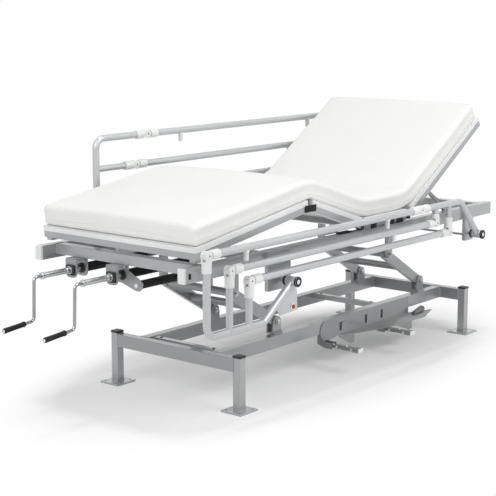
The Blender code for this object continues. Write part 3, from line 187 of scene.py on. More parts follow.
def circle(middle, first, second, radius, sides):
    """Points round a middle in the plane of two directions."""
    turns = [2 * math.pi * step / sides for step in range(sides)]
    return [middle + radius * (math.cos(t) * first + math.sin(t) * second) for t in turns]


def lathe(shape, place, profile, sides=32, closed=False):
    """A turned form: (radius, height) points about the local Z of a matrix."""
    rings = []
    for radius, height in profile:
        ring = circle(UP * height, ALONG, ACROSS, radius, sides)
        rings.append([place @ point for point in ring])
    skin(shape, rings, closed)


def barrel(radius, low, high, edge, steps=3):
    """The profile of a cylinder with rounded rims."""
    turns = quarter(steps)
    rise = [(radius - edge + edge * math.sin(t), low + edge - edge * math.cos(t)) for t in turns]
    fall = [(radius - edge + edge * math.cos(t), high - edge + edge * math.sin(t)) for t in turns]
    return rise + fall


def collar(shape, place, outer, inner, low, high, edge, sides=32):
    """A turned sleeve with a bore, about the local Z of a matrix."""
    lathe(shape, place, [*barrel(outer, low, high, edge), (inner, high), (inner, low)], sides, True)


def tube(shape, path, radius, sides=24):
    """A round tube along points, with its rings turned smoothly from one to the next."""
    path = [Vector(point) for point in path]
    runs = [(b - a).normalized() for a, b in zip(path, path[1:])]
    heads = [runs[0]] + [(a + b).normalized() for a, b in zip(runs, runs[1:])] + [runs[-1]]
    side = heads[0].orthogonal().normalized()
    rings = []
    for index, (point, head) in enumerate(zip(path, heads)):
        if index:
            side = heads[index - 1].rotation_difference(head) @ side
        rings.append(circle(point, side, head.cross(side), radius, sides))
    skin(shape, rings)


def arc(before, corner, after, radius, steps):
    """Points of the bend that rounds a corner between two straight runs."""
    inward = (before - corner).normalized()
    outward = (after - corner).normalized()
    half = inward.angle(outward) / 2
    middle = corner + (inward + outward).normalized() * radius / math.sin(half)
    first = (corner + inward * radius / math.tan(half) - middle).normalized()
    last = (corner + outward * radius / math.tan(half) - middle).normalized()
    return [middle + radius * first.slerp(last, step / steps) for step in range(steps + 1)]


def rounded_path(points, radius, steps=10):
    """A polyline with its inner corners bent to a radius."""
    points = [Vector(point) for point in points]
    path = [points[0]]
    for before, corner, after in zip(points, points[1:], points[2:]):
        path += arc(before, corner, after, radius, steps)
    path.append(points[-1])
    return path


def inset(outline, amount):
    """A counter-clockwise outline drawn in by an amount."""
    made = []
    for before, point, after in zip(outline[-1:] + outline[:-1], outline, outline[1:] + outline[:1]):
        first = (point - before).normalized()
        second = (after - point).normalized()
        inward = Vector((-first.y - second.y, first.x + second.x)).normalized()
        made.append(point + inward * amount / max(0.3, inward.dot(Vector((-first.y, first.x)))))
    return made


def plate(shape, place, outline, low, high, edge, steps=2):
    """An outline in a matrix's local XY, raised from low to high along its Z, with rounded edges."""
    outline = [Vector(point) for point in outline]
    levels = [(edge * (1 - math.sin(t)), low + edge * (1 - math.cos(t))) for t in quarter(steps)]
    levels += [(amount, low + high - height) for amount, height in reversed(levels)]
    rings = []
    for amount, height in levels:
        rings.append([place @ Vector((p.x, p.y, height)) for p in inset(outline, amount)])
    skin(shape, rings)


def rectangle(x, y, corner=0.0, steps=4):
    """A counter-clockwise rectangle between pairs of limits, with round corners where corner isn't zero."""
    if not corner:
        return [(x[0], y[0]), (x[1], y[0]), (x[1], y[1]), (x[0], y[1])]
    made = []
    for right, top, start in ((1, 0, 270), (1, 1, 0), (0, 1, 90), (0, 0, 180)):
        middle_x = x[right] - (corner if right else -corner)
        middle_y = y[top] - (corner if top else -corner)
        for step in range(steps + 1):
            turn = math.radians(start + 90 * step / steps)
            made.append((middle_x + corner * math.cos(turn), middle_y + corner * math.sin(turn)))
    return made


def oblong(half, corner):
    """A rectangle about the origin, from its half sizes."""
    wide, tall = half
    return rectangle((-wide, wide), (-tall, tall), corner)


def link(start, end, start_radius, end_radius, steps=10):
    """A counter-clockwise outline of a flat link with round ends."""
    heading = math.atan2(end[1] - start[1], end[0] - start[0])
    made = []
    for middle, radius, first in ((start, start_radius, math.pi / 2), (end, end_radius, -math.pi / 2)):
        for step in range(steps + 1):
            turn = heading + first + math.pi * step / steps
            made.append((middle[0] + radius * math.cos(turn), middle[1] + radius * math.sin(turn)))
    return made


def facing(place, axis):
    """A matrix at a place whose local Z runs along an axis and whose local Y leans upward."""
    z = Vector(axis).normalized()
    up = ALONG if abs(z.z) > 0.99 else UP
    x = up.cross(z).normalized()
    return Matrix.Translation(place) @ Matrix((x, z.cross(x), z)).transposed().to_4x4()


def hex_bolt(shape, place, radius, height):
    """A washer and a hexagon head on a face, with the local Z outward."""
    lathe(shape, place, barrel(1.45 * radius, 0.0, 0.2 * radius, 0.05 * radius), 24)
    low = 0.15 * radius
    top = low + height
    lathe(shape, place, [(1.1 * radius, low), (1.1 * radius, top - 0.15 * height), (0.95 * radius, top)], 6)
    lathe(shape, place, barrel(0.5 * radius, low, top + 0.35 * height, 0.1 * radius), 16)


def screw(shape, place, radius):
    """A domed screw head with a recess in its crown."""
    dome = [(1.0, -1.0), (1.0, 0.1), (0.92, 0.35), (0.7, 0.55)]
    recess = [(0.42, 0.62), (0.3, 0.2), (0.1, 0.15)]
    lathe(shape, place, [(radius * out, radius * height) for out, height in dome + recess], 16)


def bead(shape, points, radius, spacing=0.004, sides=8):
    """A weld bead: a low uneven cord along points."""
    points = [Vector(point) for point in points]
    path = []
    for start, end in zip(points, points[1:]):
        count = max(2, int((end - start).length / spacing))
        path += [start.lerp(end, step / count) for step in range(count)]
    path.append(points[-1])
    rings = []
    for index, point in enumerate(path):
        head = (path[min(index + 1, len(path) - 1)] - path[max(index - 1, 0)]).normalized()
        side = head.orthogonal().normalized()
        swell = radius * (1.0 + 0.18 * noise.noise(point * 190.0) + 0.12 * (index % 2))
        if index in (0, len(path) - 1):
            swell *= 0.35
        rings.append(circle(point, side, head.cross(side), swell, sides))
    skin(shape, rings)


def middle_of(node):
    low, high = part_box(node)
    return (low + high) / 2


def piece(name, shape, finish, body=None, stands_for=(), sharp=40.0):
    """Turns a bmesh into a named piece with a finish, riding on a body."""
    bmesh.ops.recalc_face_normals(shape, faces=shape.faces)
    mesh = bpy.data.meshes.new(name)
    shape.to_mesh(mesh)
    shape.free()
    mesh.materials.append(finish_named(finish))
    mesh.shade_smooth()
    mesh.set_sharp_from_angle(angle=math.radians(sharp))
    made = bpy.data.objects.new(name, mesh)
    bpy.context.scene.collection.objects.link(made)
    if body:
        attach(made, body)
    if stands_for:
        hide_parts(*stands_for)
    return made


# Shader nodes


def feed(tree, socket, value):
    """Links a socket to another one, or sets its value."""
    if isinstance(value, bpy.types.NodeSocket):
        tree.links.new(value, socket)
    else:
        socket.default_value = value


def add_node(tree, kind, inputs=(), **values):
    """A node with its settings; inputs gives a value or another socket for each of its own sockets."""
    made = tree.nodes.new(kind)
    for key, value in values.items():
        setattr(made, key, value)
    for key, value in dict(inputs).items():
        feed(tree, made.inputs[key], value)
    return made


def new_group(name, inputs, outputs):
    """An empty shader node group with float inputs and the given outputs."""
    tree = bpy.data.node_groups.new(name, "ShaderNodeTree")
    for socket, default in inputs.items():
        made = tree.interface.new_socket(socket, in_out="INPUT", socket_type="NodeSocketFloat")
        made.default_value = default
    for socket in outputs:
        tree.interface.new_socket(socket, in_out="OUTPUT", socket_type="NodeSocketFloat")
    return tree, tree.nodes.new("NodeGroupInput"), tree.nodes.new("NodeGroupOutput")


def sums(tree, operation, first, second):
    """A clamped math node on two sockets or numbers."""
    inputs = {0: first, 1: second}
    return add_node(tree, "ShaderNodeMath", inputs, operation=operation, use_clamp=True).outputs[0]


def spread(tree, value, low, high):
    """A smooth step of a socket between two limits."""
    inputs = {"Value": value, "From Min": low, "From Max": high}
    return add_node(tree, "ShaderNodeMapRange", inputs, interpolation_type="SMOOTHSTEP").outputs["Result"]


def surface_noise(tree, scale, detail, stretch=None):
    """Noise over the object's own coordinates; scale is a number or a socket."""
    place = tree.nodes.new("ShaderNodeTexCoord").outputs["Object"]
    if stretch:
        place = add_node(tree, "ShaderNodeMapping", {"Vector": place, "Scale": stretch}).outputs["Vector"]
    inputs = {"Vector": place, "Scale": scale, "Detail": detail}
    return add_node(tree, "ShaderNodeTexNoise", inputs).outputs["Fac"]


def put_mask(tree, given, put, operation, first, second):
    """Joins two masks, scales them by the group's amount and puts them out."""
    both = sums(tree, operation, first, second)
    feed(tree, put.inputs["Mask"], sums(tree, "MULTIPLY", both, given.outputs["Amount"]))


def edge_wear_group():
    """Worn edges: where the rounded normal leaves the flat one, broken up by noise."""
    tree, given, put = new_group("Edge Wear", {"Width": 0.002, "Amount": 0.5}, ["Mask"])
    rounded = add_node(tree, "ShaderNodeBevel", {"Radius": given.outputs["Width"]}, samples=4)
    flat = tree.nodes.new("ShaderNodeNewGeometry").outputs["Normal"]
    inputs = {0: rounded.outputs["Normal"], 1: flat}
    dot = add_node(tree, "ShaderNodeVectorMath", inputs, operation="DOT_PRODUCT")
    edge = spread(tree, sums(tree, "SUBTRACT", 1.0, dot.outputs["Value"]), 0.03, 0.25)
    worn = spread(tree, surface_noise(tree, 46.0, 4.0), 0.46, 0.66)
    put_mask(tree, given, put, "MULTIPLY", edge, worn)


def dust_group():
    """A thin film on surfaces that look up, in soft patches."""
    tree, given, put = new_group("Settled Dust", {"Amount": 0.3}, ["Mask"])
    normal = tree.nodes.new("ShaderNodeNewGeometry").outputs["Normal"]
    split = add_node(tree, "ShaderNodeSeparateXYZ", {"Vector": normal})
    up = spread(tree, split.outputs["Z"], 0.55, 1.0)
    patch = spread(tree, surface_noise(tree, 7.0, 5.0), 0.35, 0.75)
    put_mask(tree, given, put, "MULTIPLY", up, patch)


def scratch_group():
    """Fine rubbed scratches in two directions."""
    tree, given, put = new_group("Rub Marks", {"Amount": 0.5}, ["Mask"])
    first = spread(tree, surface_noise(tree, 30.0, 6.0, (1.0, 26.0, 26.0)), 0.56, 0.74)
    second = spread(tree, surface_noise(tree, 26.0, 6.0, (22.0, 22.0, 1.0)), 0.58, 0.76)
    put_mask(tree, given, put, "MAXIMUM", first, second)


def grain_group():
    """Fine moulded or sprayed grain, with a slow change of tone."""
    tree, given, put = new_group("Fine Grain", {"Scale": 900.0}, ["Height", "Tone"])
    feed(tree, put.inputs["Height"], surface_noise(tree, given.outputs["Scale"], 3.0))
    feed(tree, put.inputs["Tone"], spread(tree, surface_noise(tree, 3.2, 3.0), 0.30, 0.70))


def weave_group():
    """A plain weave under a coating: crossed threads along the length and width."""
    tree, given, put = new_group("Coated Weave", {"Scale": 520.0}, ["Height", "Tone"])
    place = tree.nodes.new("ShaderNodeTexCoord").outputs["Object"]
    inputs = {"Vector": place, "Scale": given.outputs["Scale"], "Distortion": 0.6, "Detail Scale": 2.0}
    waves = [add_node(tree, "ShaderNodeTexWave", inputs, bands_direction=along) for along in ("X", "Y")]
    threads = sums(tree, "MULTIPLY", *(wave.outputs["Fac"] for wave in waves))
    feed(tree, put.inputs["Height"], threads)
    feed(tree, put.inputs["Tone"], spread(tree, surface_noise(tree, 2.4, 4.0), 0.32, 0.68))


def use_group(tree, name, **inputs):
    return add_node(tree, "ShaderNodeGroup", inputs, node_tree=bpy.data.node_groups[name])


def mix_colour(tree, mask, first, second):
    """A colour between two, each a socket or an RGB triple."""
    ends = [end if isinstance(end, bpy.types.NodeSocket) else (*end, 1.0) for end in (first, second)]
    return add_node(tree, "ShaderNodeMix", {0: mask, 6: ends[0], 7: ends[1]}, data_type="RGBA").outputs[2]


def finish_named(name):
    return bpy.data.materials[f"{name}_finish"]


def scaled(rgb, share):
    return tuple(min(1.0, channel * share) for channel in rgb)


def new_material(name, **constants):
    """A material and its Principled shader, with values that are the same all over set on its own sockets."""
    made = bpy.data.materials.new(f"{name}_finish")
    made.use_nodes = True
    shader = made.node_tree.nodes["Principled BSDF"]
    for key, value in constants.items():
        shader.inputs[key.replace("_", " ").title().replace("Ior", "IOR")].default_value = value
    return made.node_tree, shader


def set_surface(tree, shader, rgb, mask, low, high, height, distance, strength):
    """Gives a shader its colour, a roughness between two values by a mask, and a bump."""
    feed(tree, shader.inputs["Base Color"], rgb)
    rough = add_node(tree, "ShaderNodeMapRange", {"Value": mask, "To Min": low, "To Max": high})
    feed(tree, shader.inputs["Roughness"], rough.outputs["Result"])
    bump = add_node(tree, "ShaderNodeBump", {"Height": height, "Distance": distance, "Strength": strength})
    feed(tree, shader.inputs["Normal"], bump.outputs["Normal"])


def paint_material(name, rgb, metallic, wear, dust):
    """Sprayed metallic paint under lacquer: fine grain, a slow change of tone, worn edges, a little dust."""
    tree, shader = new_material(name, metallic=metallic, coat_weight=0.7, coat_roughness=0.10)
    grain = use_group(tree, "Fine Grain", Scale=1400.0)
    tone = grain.outputs["Tone"]
    height = grain.outputs["Height"]
    base = mix_colour(tree, tone, scaled(rgb, 0.95), scaled(rgb, 1.05))
    fleck = mix_colour(tree, spread(tree, height, 0.56, 0.72), base, scaled(rgb, 1.16))
    worn = use_group(tree, "Edge Wear", Width=0.0022, Amount=wear).outputs["Mask"]
    rubbed = mix_colour(tree, worn, fleck, scaled(rgb, 1.35))
    film = use_group(tree, "Settled Dust", Amount=dust).outputs["Mask"]
    dusty = mix_colour(tree, film, rubbed, (0.56, 0.555, 0.54))
    set_surface(tree, shader, dusty, tone, 0.32, 0.42, height, 0.0003, 0.12)


def metal_material(name, rgb, low, high, rub):
    """Bare or plated metal with rub marks."""
    tree, shader = new_material(name, metallic=1.0)
    marks = use_group(tree, "Rub Marks", Amount=rub).outputs["Mask"]
    tone = use_group(tree, "Fine Grain", Scale=600.0).outputs["Tone"]
    base = mix_colour(tree, tone, scaled(rgb, 0.92), scaled(rgb, 1.04))
    rubbed = mix_colour(tree, marks, base, scaled(rgb, 0.72))
    set_surface(tree, shader, rubbed, marks, low, high, marks, 0.0001, 0.10)


def plastic_material(name, rgb, rough, scale, bump, dust, tone=0.05, ior=1.48):
    """Moulded plastic or rubber: fine grain, rubbed edges, dust on top."""
    tree, shader = new_material(name, ior=ior)
    grain = use_group(tree, "Fine Grain", Scale=scale)
    base = mix_colour(tree, grain.outputs["Tone"], scaled(rgb, 1 - tone), scaled(rgb, 1 + tone))
    worn = use_group(tree, "Edge Wear", Width=0.0015, Amount=0.35).outputs["Mask"]
    rubbed = mix_colour(tree, worn, base, [min(1.0, channel + 0.06) for channel in rgb])
    film = use_group(tree, "Settled Dust", Amount=dust).outputs["Mask"]
    dusty = mix_colour(tree, film, rubbed, (0.52, 0.515, 0.50))
    height = grain.outputs["Height"]
    set_surface(tree, shader, dusty, height, rough - 0.06, rough + 0.06, height, 0.0004, bump)


def cover_material(rgb):
    """The coated fabric of the mattress: weave under a soft sheen, with a slow change of tone."""
    tree, shader = new_material("mattress_cover", ior=1.45, sheen_weight=0.12, sheen_roughness=0.5)
    weave = use_group(tree, "Coated Weave", Scale=260.0)
    marks = use_group(tree, "Fine Grain", Scale=60.0).outputs["Height"]
    threads = weave.outputs["Height"]
    base = mix_colour(tree, weave.outputs["Tone"], scaled(rgb, 0.975), scaled(rgb, 1.015))
    dull = mix_colour(tree, spread(tree, threads, 0.0, 0.6), scaled(rgb, 0.94), base)
    set_surface(tree, shader, dull, marks, 0.46, 0.62, threads, 0.0004, 0.20)


class BED_OT_finishes(bpy.types.Operator):
    """Makes the finishes and gives each steel and plastic part its own, with softened edges"""

    bl_idname = "bed.finishes"
    bl_label = "Finishes"

    # Parts of the model that keep their own shape, by the start of their name
    parts = (
        ("leg side_tube frame_cross", "steel_paint"),
        # The rails' and tie tubes' paint is a lighter copy of the steel paint, a painted highlight
        ("base_tie", "rail_paint"),
        # The base, lift and crank brackets take a darker copy of the steel paint, painted shade under the bed
        ("base_cross base_rail lift_frame lift_cross crank_bracket", "base_paint"),
        # The pedal guard takes a still darker copy of the steel paint, painted shade under the bed
        ("pedal_cover", "guard_paint"),
        ("back_prop pedal_foot pedal_head pedal_bracket seat_deck", "bracket_paint"),
        ("thigh_deck calf_deck back_deck", "steel_paint"),
        ("push_rod", "dark_paint"),
        ("lift_rod", "chrome"),
        ("end_cap", "white_plastic"),
    )
    # Paints of one colour: name, share of its brightness, metallic, wear, dust
    paints = (
        ("steel_paint", 1.0, 0.45, 0.25, 0.25),
        # The steel paint made lighter for the rails, their end frames and the tie tubes: a painted highlight
        # on their round tubes
        ("rail_paint", 1.3, 0.45, 0.25, 0.25),
        # The steel paint made darker for the base, the lift and the crank brackets: painted shade from the bed
        # above them
        ("base_paint", 0.80, 0.45, 0.27, 0.25),
        # The steel paint made darker still for the pedal guard: painted shade under the bed
        ("guard_paint", 0.60, 0.45, 0.30, 0.25),
        ("bracket_paint", 0.55, 0.35, 0.35, 0.15),
    )
    edge = 0.0016
    edge_angle = math.radians(50)
    join = 1e-5

    def execute(self, context):
        shades = settings(context, "bed_colours")
        for make in (edge_wear_group, dust_group, grain_group, weave_group, scratch_group):
            make()
        for name, share, metallic, wear, dust in self.paints:
            paint_material(name, scaled(shades.paint, share), metallic, wear, dust)
        paint_material("dark_paint", shades.dark_paint, 0.30, 0.55, 0.25)
        metal_material("chrome", (0.37, 0.38, 0.40), 0.12, 0.30, 0.35)
        metal_material("zinc", (0.60, 0.605, 0.61), 0.24, 0.42, 0.6)
        plastic_material("white_plastic", shades.white_plastic, 0.40, 700.0, 0.10, 0.10)
        plastic_material("deck_panel", shades.deck, 0.46, 420.0, 0.16, 0.05)
        plastic_material("black_plastic", shades.black_plastic, 0.42, 500.0, 0.18, 0.06, 0.25)
        rubber = scaled(shades.black_plastic, 0.8)
        plastic_material("black_rubber", rubber, 0.66, 300.0, 0.25, 0.02, 0.3, 1.33)
        plastic_material("red_plastic", shades.red, 0.36, 700.0, 0.08, 0.03)
        cover_material(shades.cover)
        for name, node in NODES.items():
            for starts, finish in self.parts:
                if name.startswith(tuple(starts.split())):
                    self.soften(node, finish)
                    break
        return {"FINISHED"}

    def soften(self, node, finish):
        node.data.materials.clear()
        node.data.materials.append(finish_named(finish))
        weld = node.modifiers.new("Join Corners", "WELD")
        weld.merge_threshold = self.join
        bevel = node.modifiers.new("Soft Edges", "BEVEL")
        bevel.width = self.edge
        bevel.segments = 2
        bevel.limit_method = "ANGLE"
        bevel.angle_limit = self.edge_angle
        bevel.harden_normals = True


# Mattress

# Points this close under the top of a deck belong to its top face
TOP_BAND = 1e-4


def deck_plane(node):
    """The top plane of a deck: a matrix with X along the bed and Z up, and the deck's reach along X."""
    mesh = NODES[node].data
    top = max((p for p in mesh.polygons if p.normal.z > 0.5), key=lambda p: p.area)
    up = top.normal.copy()
    along = ACROSS.cross(up).normalized()
    height = max(vertex.co.dot(up) for vertex in mesh.vertices)
    reach = [v.co.dot(along) for v in mesh.vertices if v.co.dot(up) > height - TOP_BAND]
    place = Matrix((along, ACROSS, up)).transposed().to_4x4()
    place.translation = up * height
    return place, (min(reach), max(reach))


def fold_line(lines, ends, height, radii, steps):
    """Points (x, z) along joined lines at a height over them, with the corners between them rounded."""
    corners = [lines[0][0] @ Vector((ends[0], 0, height))]
    for (first, _), (second, _) in zip(lines, lines[1:]):
        start = first @ Vector((0, 0, height))
        run = first.col[0].to_3d()
        other = second @ Vector((0, 0, height))
        across = second.col[2].to_3d()
        corners.append(start + run * ((other - start).dot(across) / run.dot(across)))
    corners.append(lines[-1][0] @ Vector((ends[1], 0, height)))
    path = []
    start = corners[0]
    for before, corner, after, radius in zip(corners, corners[1:], corners[2:], radii):
        bend = arc(before, corner, after, radius, steps)
        path += [start.lerp(bend[0], step / steps) for step in range(steps)]
        path += bend[:-1]
        start = bend[-1]
    path += [start.lerp(corners[-1], step / steps) for step in range(steps + 1)]
    return path


class BED_OT_mattress(bpy.types.Operator):
    """Builds the mattress bent over the four decks and cuts it into three lengths"""

    bl_idname = "bed.mattress"
    bl_label = "Mattress"

    decks = ("calf_deck", "thigh_deck", "seat_deck", "back_deck")
    # Its lengths: name, the two bodies on either side of its bend, their joint, and the blocks it stands for
    lengths = (
        ("mattress_foot", "calf", "thigh", "calf_fold", ("mattress_calf",)),
        ("mattress_middle", "thigh", "upper_frame", "thigh_raise", ("mattress_thigh",)),
        ("mattress_head", "upper_frame", "back", "back_raise", ("mattress_seat", "mattress_back")),
    )
    steps = 16
    lift = 0.0008
    low_bends = (0.080, 0.380, 0.360)
    top_bends = (0.340, 0.300, 0.280)
    edge_steps = 5
    blend_reach = 0.11
    least_top = 0.006
    least_low = 0.005
    # The seam's height and the waist's, as shares of the thickness
    seam_height = 0.30
    waist_height = 0.52
    seam_half = 0.0012
    seam_foot = 0.004
    crown_end = 0.03
    crown_shares = (0.94, 0.85, 0.7, 0.5, 0.3, 0.1)
    under_shares = (-0.75, -0.4, 0.0, 0.4, 0.75)
    # Folds at the bends: the joint and how far they reach along the bed
    folds = (("thigh_raise", 0.10), ("back_raise", 0.13))
    fold_floor = 0.06
    fold_side = 0.40
    fold_grain = Vector((34.0, 3.0, 34.0))
    fold_shift = Vector((0.0, 0.0, 7.3))
    padding = 0.95

    def section(self, sizes, drawn):
        """(y, height) points around the mattress, drawn in by an amount at a rounded end."""
        half = sizes.width / 2 - drawn
        thick = sizes.thickness
        top = max(sizes.top_edge - drawn, self.least_top)
        low = max(sizes.low_edge - drawn, self.least_low)
        turns = quarter(self.edge_steps)
        right = [(half - low + low * math.sin(t), drawn + low - low * math.cos(t)) for t in turns]
        seam = self.seam_height * thick
        ridge = ((-self.seam_foot, 0.0, 0.4), (-self.seam_half, sizes.seam, 0.4))
        ridge += ((self.seam_half, sizes.seam, 0.4), (self.seam_foot, 0.0, 0.6))
        right += [(half + out - share * sizes.draw_in, seam + height) for height, out, share in ridge]
        right.append((half - sizes.draw_in, self.waist_height * thick))
        right += [(half - top + top * math.cos(t), thick - drawn - top + top * math.sin(t)) for t in turns]
        for share in self.crown_shares:
            rise = sizes.crown * (1 - share**2) * (1 - drawn / self.crown_end)
            right.append((share * (half - top), thick - drawn + rise))
        left = [(-y, height) for y, height in reversed(right)]
        under = [(share * half, drawn) for share in self.under_shares]
        return right + left + under

    def execute(self, context):
        sizes = settings(context, "bed_mattress")
        lines = [deck_plane(name) for name in self.decks]
        ends = (lines[0][1][0], lines[-1][1][1])
        low = fold_line(lines, ends, self.lift, self.low_bends, self.steps)
        top = fold_line(lines, ends, self.lift + sizes.thickness, self.top_bends, self.steps)
        stations = self.rounded_ends([(a, b, 0.0) for a, b in zip(low, top)], sizes.top_edge)
        rings = []
        for bottom, above, drawn in stations:
            points = self.section(sizes, drawn)
            rings.append([bottom.lerp(above, height / sizes.thickness) + ACROSS * y for y, height in points])
        self.wrinkle(rings, sizes)
        last = len(rings) - 1
        cuts = [0, self.nearest(stations, "thigh_deck"), self.nearest(stations, "seat_deck"), last]
        for index, (name, body, after, joint, nodes) in enumerate(self.lengths):
            start, end = cuts[index : index + 2]
            made = self.part(name, rings[start : end + 1], (start > 0, end < last))
            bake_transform(made)
            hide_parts(*nodes)
        return {"FINISHED"}

    def rounded_ends(self, stations, radius):
        """Stations with extra ones at both ends, where the section is drawn in to a round edge."""
        made = []
        for row in (stations, stations[::-1]):
            bottom, above, _ = row[0]
            run = (row[1][0] - bottom).normalized()
            extra = []
            for turn in quarter(self.edge_steps):
                shift = run * radius * (1 - math.cos(turn))
                extra.append((bottom + shift, above + shift, radius * (1 - math.sin(turn))))
            made.append(extra)
        first, last = made
        return first + stations[1:-1] + last[::-1]

    def nearest(self, stations, deck):
        """The station that is nearest the middle of a deck."""
        place, reach = deck_plane(deck)
        spot = place @ Vector((sum(reach) / 2, 0, 0))
        return min(range(len(stations)), key=lambda index: (stations[index][0] - spot).length)

    def wrinkle(self, rings, sizes):
        """Soft folds across the cover where the decks bend it inward."""
        for name, width in self.folds:
            hinge = joint_place(name)
            for point in (point for ring in rings for point in ring):
                away = (point.x - hinge.x) / width
                if abs(away) > 1 or point.z < hinge.z + self.fold_floor:
                    continue
                share = (1 - away * away) ** 2
                edge = min(1.0, abs(point.y) / self.fold_side) ** 2
                fold = noise.noise(point * self.fold_grain + self.fold_shift)
                point.z += sizes.wrinkle * share * fold * (0.35 + edge)

    def part(self, name, rings, cut):
        """One length of the mattress, smoothed, and closed square where it is cut."""
        shape = bmesh.new()
        skin(shape, rings)
        crease = shape.edges.layers.float.new("crease_edge")
        ends = [face for face in shape.faces if len(face.verts) > 4]
        for face, inside in zip(ends, cut):
            if inside:
                for edge in face.edges:
                    edge[crease] = 1.0
        made = piece(name, shape, "mattress_cover", sharp=75.0)
        smooth = made.modifiers.new("Smooth", "SUBSURF")
        smooth.levels = 1
        smooth.render_levels = 1
        graph = bpy.context.evaluated_depsgraph_get()
        mesh = bpy.data.meshes.new_from_object(made.evaluated_get(graph))
        made.modifiers.clear()
        made.data = mesh
        return made


# Decks


class BED_OT_deck_panels(bpy.types.Operator):
    """Lays a moulded panel over each deck frame and adds the hinge knuckles at its sides"""

    bl_idname = "bed.deck_panels"
    bl_label = "Deck Panels"

    bodies = {"calf_deck": "calf", "thigh_deck": "thigh", "seat_deck": "upper_frame", "back_deck": "back"}
    hinges = {"calf_fold": "thigh", "thigh_raise": "upper_frame", "back_raise": "upper_frame"}
    panel = 0.0222
    proud = 0.0004
    edge = 0.0018
    knuckle_radius = 0.0090
    knuckle_length = 0.034
    knuckle_screw = 0.0045
    # Dark plates at the knee, painted shade for the open frame ends there: reach, rise, gap and thickness
    cover_reach = (-0.036, 0.038)
    cover_rise = (-0.011, 0.017)
    cover_gap = 0.0012
    cover_thickness = 0.0030
    pad_reach = (-0.138, -0.058)
    pad_inset = 0.004
    pad_height = 0.006
    block_reaches = ((0.063, 0.106), (0.208, 0.246), (0.265, 0.314))
    block_height = 0.029
    block_thickness = 0.0022
    slot_place = 0.020
    slot_drop = 0.031
    slot_half = (0.007, 0.011)
    # How deep a plate sits in the face that carries it
    bed_in = 0.0005

    def execute(self, context):
        for deck, body in self.bodies.items():
            place, reach = deck_plane(deck)
            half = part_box(deck)[1].y + 1.5 * self.proud
            outline = rectangle((reach[0] - self.proud / 2, reach[1] + self.proud / 2), (-half, half), 0.002)
            shape = bmesh.new()
            plate(shape, place, outline, -self.panel, self.proud, self.edge, 3)
            piece(f"panel_{body}", shape, "deck_panel", body)
        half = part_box("thigh_deck")[1].y
        height = self.knuckle_length - 0.001
        for joint, body in self.hinges.items():
            shape = bmesh.new()
            for side in BOTH:
                end = joint_place(joint) + ACROSS * side * (half - self.knuckle_length)
                lathe(shape, facing(end, ACROSS * side), barrel(self.knuckle_radius, 0.0, height, 0.0015), 24)
                screw(shape, facing(end + ACROSS * side * height, ACROSS * side), self.knuckle_screw)
            piece(f"knuckles_{joint}", shape, "black_plastic", body)
        self.knee_covers(half)
        self.pads()
        return {"FINISHED"}

    def knee_covers(self, half):
        """Dark plates beside the gap between the thigh and calf decks: painted shade where the open ends of
        the deck frames show dark.
        """
        shape = bmesh.new()
        knee = joint_place("calf_fold")
        outline = rectangle(self.cover_reach, self.cover_rise, 0.004)
        for side in BOTH:
            place = Matrix.Translation((knee.x, side * (half + self.cover_gap), knee.z)) @ UPRIGHT
            low, high = sorted((0.0, -side * self.cover_thickness))
            plate(shape, place, outline, low, high, 0.0010)
        piece("knee_covers", shape, "black_rubber", "thigh")

    def pads(self):
        """Black pads on the side tubes, blocks under the seat panel, and near each tube's foot end a flat dark
        plate that is painted shade in its slot.
        """
        shape = bmesh.new()
        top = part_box("frame_cross_foot")[1].z
        outer, inner = (abs(corner.y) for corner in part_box("end_cap_near"))
        hinge = joint_place("thigh_raise").x
        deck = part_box("seat_deck")[0]
        heights = (deck.z, deck.z + self.block_height)
        slot_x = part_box("side_tube_near")[0].x + self.slot_place
        for side in BOTH:
            across = sorted((side * inner, side * (outer - self.pad_inset)))
            outline = rectangle([hinge + x for x in self.pad_reach], across, 0.003)
            plate(shape, NO_TURN, outline, top - self.bed_in, top + self.pad_height, 0.0012)
            place = Matrix.Translation((0, -side * deck.y, 0)) @ UPRIGHT
            limits = sorted((0.0004 * side, -side * self.block_thickness))
            for reach in self.block_reaches:
                plate(shape, place, rectangle([hinge + x for x in reach], heights, 0.003), *limits, 0.0009)
            # A flush dark plate on the tube's side: painted shade where its slot shows dark
            place = Matrix.Translation((slot_x, side * outer, top - self.slot_drop)) @ UPRIGHT
            plate(shape, place, oblong(self.slot_half, 0.002), -self.bed_in, self.bed_in, 0.0003)
        piece("frame_pads", shape, "black_rubber", "upper_frame")


# Side rails


def fitting_spots():
    """Pins of the rail fittings from the end frame's pivot, with the rail lowered."""
    pivot = joint_place("rail_near_fold")
    return {which: joint_place(f"rail_near_{which}_level") - pivot for which in RAILS}


def end_joint(side, end):
    """The joint that an end frame of a rail turns on."""
    return f"rail_{side}_fold" if end == "foot" else f"rail_{side}_head_fold"


def frame_place(side, end):
    """Where a rail's end frame stands: its pivot, turned as far as the rail is raised."""
    lowered = fitting_spots()["top"]
    now = joint_place(f"rail_{side}_top_level") - joint_place(f"rail_{side}_fold")
    turn = math.atan2(lowered.z, lowered.x) - math.atan2(now.z, now.x)
    return Matrix.Translation(joint_place(end_joint(side, end))) @ Matrix.Rotation(turn, 4, "Y")


def rail_span(side):
    return (joint_place(end_joint(side, "head")) - joint_place(end_joint(side, "foot"))).x


def tube_start(sizes):
    """How far from a fitting's pin a tube begins, inside the sleeve."""
    return (sizes.sleeve_start + sizes.sleeve_end) / 2


def saddle(shape, place, spot, stub, run, up):
    """A weld bead where an upright stub meets a level tube."""
    points = []
    for step in range(25):
        turn = 2 * math.pi * step / 24
        y = stub * math.sin(turn)
        rise = math.sqrt(max(0.0, run * run - y * y))
        points.append(place @ Vector((spot[0] + stub * math.cos(turn), y, spot[1] + up * rise)))
    bead(shape, points, 0.0017)


